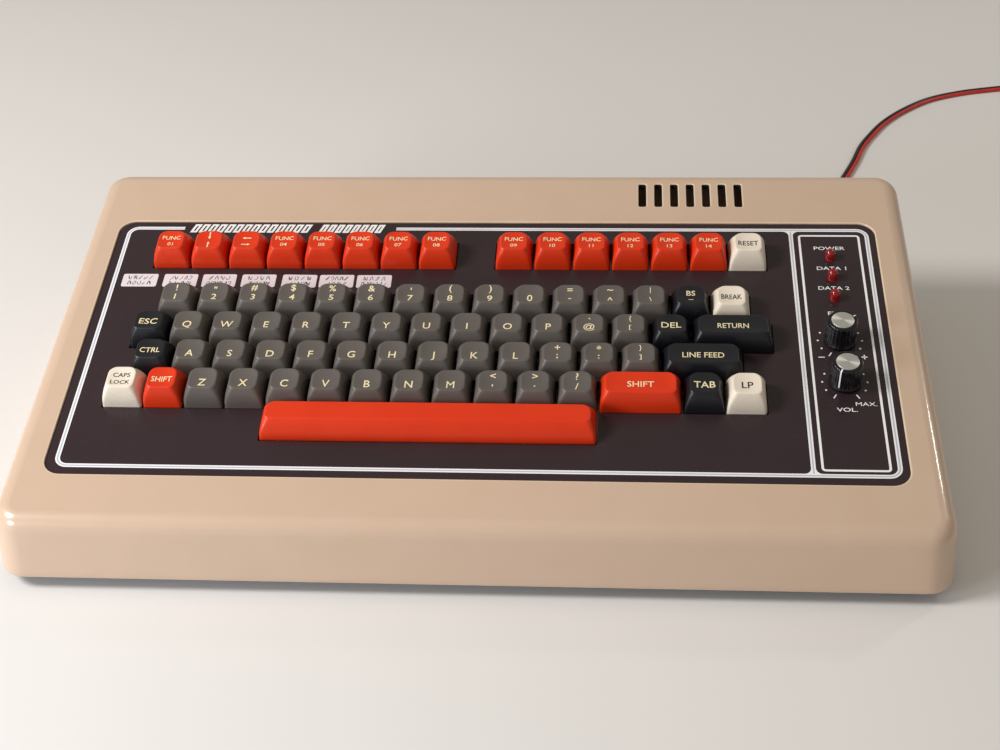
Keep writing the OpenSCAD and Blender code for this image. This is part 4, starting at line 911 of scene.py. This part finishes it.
def build_trim():
    """Three-line border with a gap for the title, the divider and the frame of the control column."""
    shape = Shape()
    x0, x1, v0, v1 = TRIM
    cuts = np.array([0, 0.32, 0.68, 1]) * TRIM_W

    def border(o):
        loop = rounded(x0 + o, x1 - o, v0 + o, v1 - o, [TRIM_R - o] * 4, 9)
        front_right, rear_right, rear_left, front_left = np.split(loop, 4)
        return np.vstack([[TITLE_GAP[0], v1 - o], rear_left, front_left, front_right, rear_right,
                          [TITLE_GAP[1], v1 - o]])

    for slot, a, b in zip((0, 1, 0), cuts, cuts[1:]):
        strip(shape, border(a), border(b), slot)
    low, high = v0 + TRIM_W, v1 - TRIM_W
    edges = np.array([-0.5, -0.16, 0.16, 0.5]) * DIVIDER_W + DIVIDER_X
    for slot, a, b in zip((0, 1, 0), edges, edges[1:]):
        strip(shape, [(a, low), (a, high)], [(b, low), (b, high)], slot)
    for x, sx in ((edges[0], -1), (edges[-1], 1)):
        for v, sv in ((low, 1), (high, -1)):
            fillet(shape, x, v, sx, sv, DIVIDER_R)
    cx0, cx1, cv0, cv1 = COLUMN
    outer, inner = (rounded(cx0 + o, cx1 - o, cv0 + o, cv1 - o, [COLUMN_R - o] * 4, 5)
                    for o in (0, COLUMN_LINE))
    strip(shape, outer, inner, 0, closed=True)
    shape.mesh("panel_trim", "case", [ink_white, trim_middle_band], smooth=False)


def build_title():
    """Two rows of plain slanted blocks in place of the printed title."""
    shape = Shape()
    v, slant = TRIM[3] - TRIM_W / 2, TITLE_SLANT
    low, high = v - TITLE_HALF, v + TITLE_HALF
    for start, pitch, count in TITLE_WORDS:
        for i in range(count):
            x = start + i * pitch
            end = x + (pitch - TITLE_SPACE)
            block = [(x - slant, low), (end - slant, low), (end + slant, high), (x + slant, high)]
            line(shape, block, TITLE_LINE, 0, closed=True)
    shape.mesh("panel_title", "case", [ink_white], smooth=False)


def build_scales():
    """Labels of the lamps and knobs, minus and plus, and the dotted scale round each knob."""
    shape = Shape()
    x = CONTROL_X
    for text, v in LABELS:
        label(shape, text, x + (0.2 if v > 100 else -0.4), v, LABEL_H)
    label(shape, "MAX.", x + 8.4, 77.1, 2.4)
    for ends in ([(x - 10.7, 106), (x - 7.8, 106)], [(x + 8.9, 106.3), (x + 11.7, 106.3)],
                 [(x + 10.3, 104.9), (x + 10.3, 107.7)]):
        line(shape, ends, SCALE_LINE, 0)
    for v in (FINE_V, VOLUME_V):
        for turn in range(-30, 211, 30):
            a = radians(turn)
            spot(shape, x + SCALE_R * cos(a), v + SCALE_R * sin(a), SCALE_DOT)
        for turn in (240, -60):
            a = radians(turn)
            ends = [(x + r * cos(a), v + r * sin(a)) for r in SCALE_TICK]
            line(shape, ends, SCALE_LINE, 0)
    shape.mesh("panel_scales", "case", [ink_white], smooth=False)


def build_stickers():
    """Paper stickers with two rows of unreadable pen marks: each is the curve
    (sin(s + p), cos(m s + p / 2)) with its own m and p."""
    rng = np.random.default_rng(7)
    v0, v1 = STICKER_V
    for i, (left, right) in enumerate(STICKERS):
        shape = Shape()
        a, b = left + FIELD_X, right + FIELD_X
        turn = rng.uniform(-0.012, 0.012)
        middle = np.array([(a + b) / 2, (v0 + v1) / 2])
        matrix = np.array([[cos(turn), sin(turn)], [-sin(turn), cos(turn)]])
        outline = (rounded(a, b, v0, v1, [STICKER_R] * 4, 6) - middle) @ matrix + middle
        inner = middle + (outline - middle) * 0.992
        rings = ((outline, 0.0), (outline, 0.12), (inner, 0.15))
        shape.loft([on_sheet(p, w) for p, w in rings], last=True)
        for v in (v1 - 2.6, v0 + 2.6):
            reach = rng.uniform(0.62, 0.76) * (b - a)
            marks = int(rng.integers(4, 7))
            for k in range(marks):
                s = np.linspace(0, 2 * pi * rng.uniform(0.5, 1.0), 14)
                m, p = rng.integers(1, 3), rng.uniform(0, 6)
                x = middle[0] + reach * ((k + 0.5) / marks - 0.5) + 0.8 * np.sin(s + p)
                y = v + 1.25 * np.cos(m * s + p / 2)
                line(shape, np.stack([x, y], 1), PEN_W, 1, w=PEN_LIFT)
        shape.mesh(f"sticker_{i + 1}", "case", [paper, pen_line], smooth=False)


build_trim()
build_title()
build_scales()
build_stickers()

# Knobs and lamps

KNOB_R, KNOB_LOW, KNOB_HIGH, SKIRT_H, FLUTES, FLUTE_T = 7.5, 0.6, 13.6, 1.6, 24, 0.16
GRIP_ROUND, POINTER_HALF = 0.75, 0.34
DISC_R, DISC_LOW, DISC_SIDES = 5.2, 13.2, 64
SHAFT_R, SHAFT_LOW, SHAFT_HIGH = 3.0, -9.8, 11.0
LAMP_R, LAMP_RIM, LAMP_DOME, LAMP_V, LAMP_PITCH = 2.5, 2.9, 3.1, 173.4, 14.2


def turned(v, profile, count, ripple=None):
    """Loops about a control's axis from (radius, height, share of the flutes) rows."""
    a = full_turn(count)
    loops = []
    for radius, height, share in profile:
        r = radius - (ripple(a) * share if ripple else 0)
        loops.append(on_panel(CONTROL_X + r * np.cos(a), v + r * np.sin(a), height))
    return loops


def build_knob(node, v, pointer, reach):
    """Fluted knob: r(a) = R - g (1/2 + 1/2 cos(n a))^3 on the grip, with a pointer line over rim and side
    that reaches down by the last of the given depths, and its shaft."""
    shape = Shape()
    body = KNOB_R - 0.25
    grip = [(body - 0.02 * z, KNOB_LOW + SKIRT_H + 0.15 + z, 1) for z in (0, 3.5, 7, 9.6)]
    profile = [(6.2, 3.2, 0), (6.2, KNOB_LOW, 0), (KNOB_R - 0.3, KNOB_LOW, 0), (KNOB_R, KNOB_LOW + 0.3, 0),
               (KNOB_R, KNOB_LOW + SKIRT_H - 0.3, 0), (KNOB_R - 0.2, KNOB_LOW + SKIRT_H, 0)] + grip
    profile += [(body - 0.25 - GRIP_ROUND * (1 - cos(f)), KNOB_HIGH - GRIP_ROUND * (1 - sin(f)),
                 cos(f) ** 2) for f in (0.3, 0.7, 1.1, 1.57)]
    profile += [(DISC_R + 0.35, KNOB_HIGH, 0), (DISC_R + 0.1, KNOB_HIGH - 0.15, 0),
                (DISC_R + 0.1, DISC_LOW, 0)]

    def ripple(a):
        return FLUTE_T * (0.5 + 0.5 * np.cos(FLUTES * a)) ** 3

    shape.loft(turned(v, profile, FLUTES * 8, ripple), first=True, last=True)
    half = POINTER_HALF
    c, s = cos(pointer), sin(pointer)
    way = [(DISC_R + 0.4, KNOB_HIGH + 0.03), (body - 0.95, KNOB_HIGH + 0.03), (body - 0.25, KNOB_HIGH - 0.2),
           (body + 0.02, KNOB_HIGH - 0.8)]
    way += [(body + 0.04, KNOB_HIGH - z) for z in reach]
    left, right = (on_panel([CONTROL_X + r * c + side * half * s for r, _ in way],
                            [v + r * s - side * half * c for r, _ in way], [z for _, z in way])
                   for side in (-1, 1))
    shape.loft([left, right], 1, closed=False)
    knob = shape.mesh(node + "_grip", node, [knob_black, pointer_white])
    shaft = Shape()
    shaft.loft(turned(v, [(SHAFT_R, SHAFT_LOW, 0), (SHAFT_R, SHAFT_HIGH, 0)], 24), first=True, last=True)
    metal_shaft = shaft.mesh(node + "_shaft", node, [steel])
    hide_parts(node)
    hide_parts(node)


def build_disc(node, v, body):
    """Turned disc, very slightly domed: z = top + 0.12 (1 - k^2) at the share k of its radius. Its surface
    map holds (turn, radius) for the turning marks and the painted highlight fans."""
    profile = [(DISC_R, DISC_LOW, 0), (DISC_R, DISC_LOW + 0.42, 0), (DISC_R - 0.25, DISC_LOW + 0.6, 0)]
    profile += [(DISC_R * k, DISC_LOW + 0.6 + 0.12 * (1 - k * k), 0)
                for k in (0.9, 0.75, 0.6, 0.45, 0.3, 0.15, 0.03)]
    shape = Shape()
    shape.loft(turned(v, profile, DISC_SIDES), first=True, last=True)
    uv = [(k / DISC_SIDES, radius) for radius, _, _ in profile for k in range(DISC_SIDES)]
    disc = shape.mesh(node + "_face", body, [spun], uv=uv)
    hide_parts(node)


def build_lamps():
    """Three diffused red lamps: straight body with a rim at the panel and a dome on top."""
    profile = [(LAMP_RIM, -3.0, 0), (LAMP_RIM, -2.02, 0), (LAMP_R, -2.0, 0), (LAMP_R, 2.0, 0)]
    profile += [(LAMP_R * cos(f), LAMP_DOME + LAMP_R * sin(f), 0) for f in np.linspace(0, 1.5, 8)]
    for i in range(3):
        shape = Shape()
        shape.loft(turned(LAMP_V - LAMP_PITCH * i, profile, 32), first=True, last=True)
        lamp = shape.mesh(f"lamp_{i + 1}", "case", [lamp_red])
        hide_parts("status_lamps")


build_knob("fine_knob", FINE_V, radians(28), (1.2, 1.6))
build_knob("volume_knob", VOLUME_V, radians(240), (2, 5, 8, 10.6))
build_disc("fine_knob_disc", FINE_V, "fine_knob")
build_disc("volume_knob_disc", VOLUME_V, "volume_knob")
build_lamps()

# Supply lead

CORE_R, LEAD_W, LEAD_T = 1.2, 4.8, 2.4
EXIT = np.array([164.0, 121.0, 32.0])
LEAD_LOW = LEAD_T / 2 + 0.1
# The free stretch from the exit: x, y, and the height as a share, 1 at the exit and 0 on the table.
LEAD_WAY = [
    (0, 0, 1), (0, 5, 1), (0.2, 11, 0.967), (0.5, 17, 0.886), (1, 24, 0.739), (1.8, 31, 0.544),
    (3, 39, 0.349), (5, 48, 0.186), (8, 58, 0.072), (11.5, 69, 0.007), (16.5, 83, 0), (23, 99, 0),
    (31, 117, 0), (38.5, 135, 0), (46.5, 155, 0), (53.4, 175, 0), (61.8, 192, 0), (72, 209, 0),
    (86.5, 226, 0), (105, 241.5, 0), (127, 251.5, 0), (150, 257.5, 0), (172, 262, 0), (190, 264.8, 0),
    (206, 266, 0),
]
COIL_R, COIL_TURNS = 27.0, 6
COIL_AT = EXIT[:2] + [211, 266 - COIL_R]
PLUG_AT = np.array([COIL_AT[0] + 13.0, COIL_AT[1] - COIL_R, LEAD_T * 3 + 3.5])


def eased(t):
    """3 t^2 - 2 t^3."""
    return t * t * (3 - 2 * t)


def coil_way():
    """Six turns in two columns and three layers. Turn n keeps its radius and height, and eases to those of
    the next turn over its last sixth: r = r_n + (r_n+1 - r_n) s(t), s(t) = 3 t^2 - 2 t^3. The first turn
    starts from the coil's mean radius."""
    outer, inner = COIL_R + LEAD_W / 2, COIL_R - LEAD_W / 2
    radii = [outer, inner, inner, outer, outer, inner, inner]
    heights = [LEAD_LOW + LEAD_T * k for k in (0, 0, 1, 1, 2, 2, 2)]
    turns = np.linspace(0, COIL_TURNS - 0.27, COIL_TURNS * 32)[1:]
    n = np.floor(turns).astype(int)
    t = eased(np.clip((turns - n - 0.84) / 0.16, 0, 1))
    start = eased(np.clip(turns / 0.16, 0, 1))
    r = np.take(radii, n) * (1 - t) + np.take(radii, n + 1) * t
    r = COIL_R * (1 - start) + r * start
    z = np.take(heights, n) * (1 - t) + np.take(heights, n + 1) * t
    a = pi / 2 - 2 * pi * turns
    return np.stack([COIL_AT[0] + r * np.cos(a), COIL_AT[1] + r * np.sin(a), z], 1)


def smooth(knots, step):
    """Catmull-Rom curve through the knots at an even step along its length:
    p(t) = (2 p1 + (p2 - p0) t + (2 p0 - 5 p1 + 4 p2 - p3) t^2 + (3 p1 - p0 - 3 p2 + p3) t^3) / 2."""
    k = np.asarray(knots, float)
    k = np.vstack([2 * k[0] - k[1], k, 2 * k[-1] - k[-2]])
    t = np.linspace(0, 1, 16, endpoint=False)[:, None]
    parts = [(2 * b + (c - a) * t + (2 * a - 5 * b + 4 * c - d) * t ** 2
              + (3 * b - a - 3 * c + d) * t ** 3) / 2 for a, b, c, d in zip(k, k[1:], k[2:], k[3:])]
    fine = np.vstack(parts + [k[-2:-1]])
    run = np.concatenate([[0], np.cumsum(np.linalg.norm(np.diff(fine, axis=0), axis=1))])
    even = np.linspace(0, run[-1], max(2, round(run[-1] / step) + 1))
    return np.stack([np.interp(even, run, fine[:, i]) for i in range(3)], 1)


def lead_way():
    """Middle line of the lead: the free stretch, the coil, and the end that rises into the plug."""
    free = EXIT + [[x, y, (z - 1) * (EXIT[2] - LEAD_LOW)] for x, y, z in LEAD_WAY]
    coil = coil_way()
    tail = [PLUG_AT + p for p in ((9.5, 13.0, -3.6), (8.2, 7.0, -2.0), (5.2, 2.2, -0.5), (1.0, 0.1, 0),
                                  (-2.0, 0, 0))]
    return smooth(np.vstack([free, coil[2:], tail]), 2.5)


def lay_lead():
    """Two round cores side by side along one way, level across: p(s) +- r across(s) is the middle of a core,
    and r (cos a across(s) + sin a up(s)) goes round it."""
    way = lead_way()
    ahead = np.gradient(way, axis=0)
    ahead /= np.linalg.norm(ahead, axis=1)[:, None]
    across = np.cross(ahead, [0, 0, 1.0])
    across /= np.linalg.norm(across, axis=1)[:, None]
    up = np.cross(across, ahead)
    a = full_turn(12)
    shape = Shape()
    for slot, side in enumerate((1, -1)):
        middle = way + side * CORE_R * across
        loops = middle[:, None] + CORE_R * 0.995 * (np.cos(a)[None, :, None] * across[:, None]
                                                    + np.sin(a)[None, :, None] * up[:, None])
        shape.loft(loops, slot, first=True, last=True)
    lead = shape.mesh("supply_lead", "case", [cord_red, cord_black])
    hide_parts("supply_cord", "supply_cord_coil")


lay_lead()

# Looks of the solids that show as they are


def dress(look, *names):
    """Gives solids that show as they are their look."""
    for name in names:
        mesh = nodes[name].data
        mesh.materials.clear()
        mesh.materials.append(look.material)


dress(panel_lacquer, "front_panel")
dress(dark_steel, "base_tray", "rear_panel")
dress(steel, "keyboard_plate", "space_bar_wire", "control_pots", "case_screws")
dress(part_black, "switch_housings", "power_switch", "board_components")
dress(board_tan, "keyboard_board", "control_board")
dress(board_green, "main_board")
dress(aluminium, "support_pillars")
dress(speaker_grey, "speaker")
dress(rocker_red, "power_rocker")
dress(rubber, "rubber_feet", "cord_grommet", "supply_plug")
dress(socket_white, "rear_sockets")
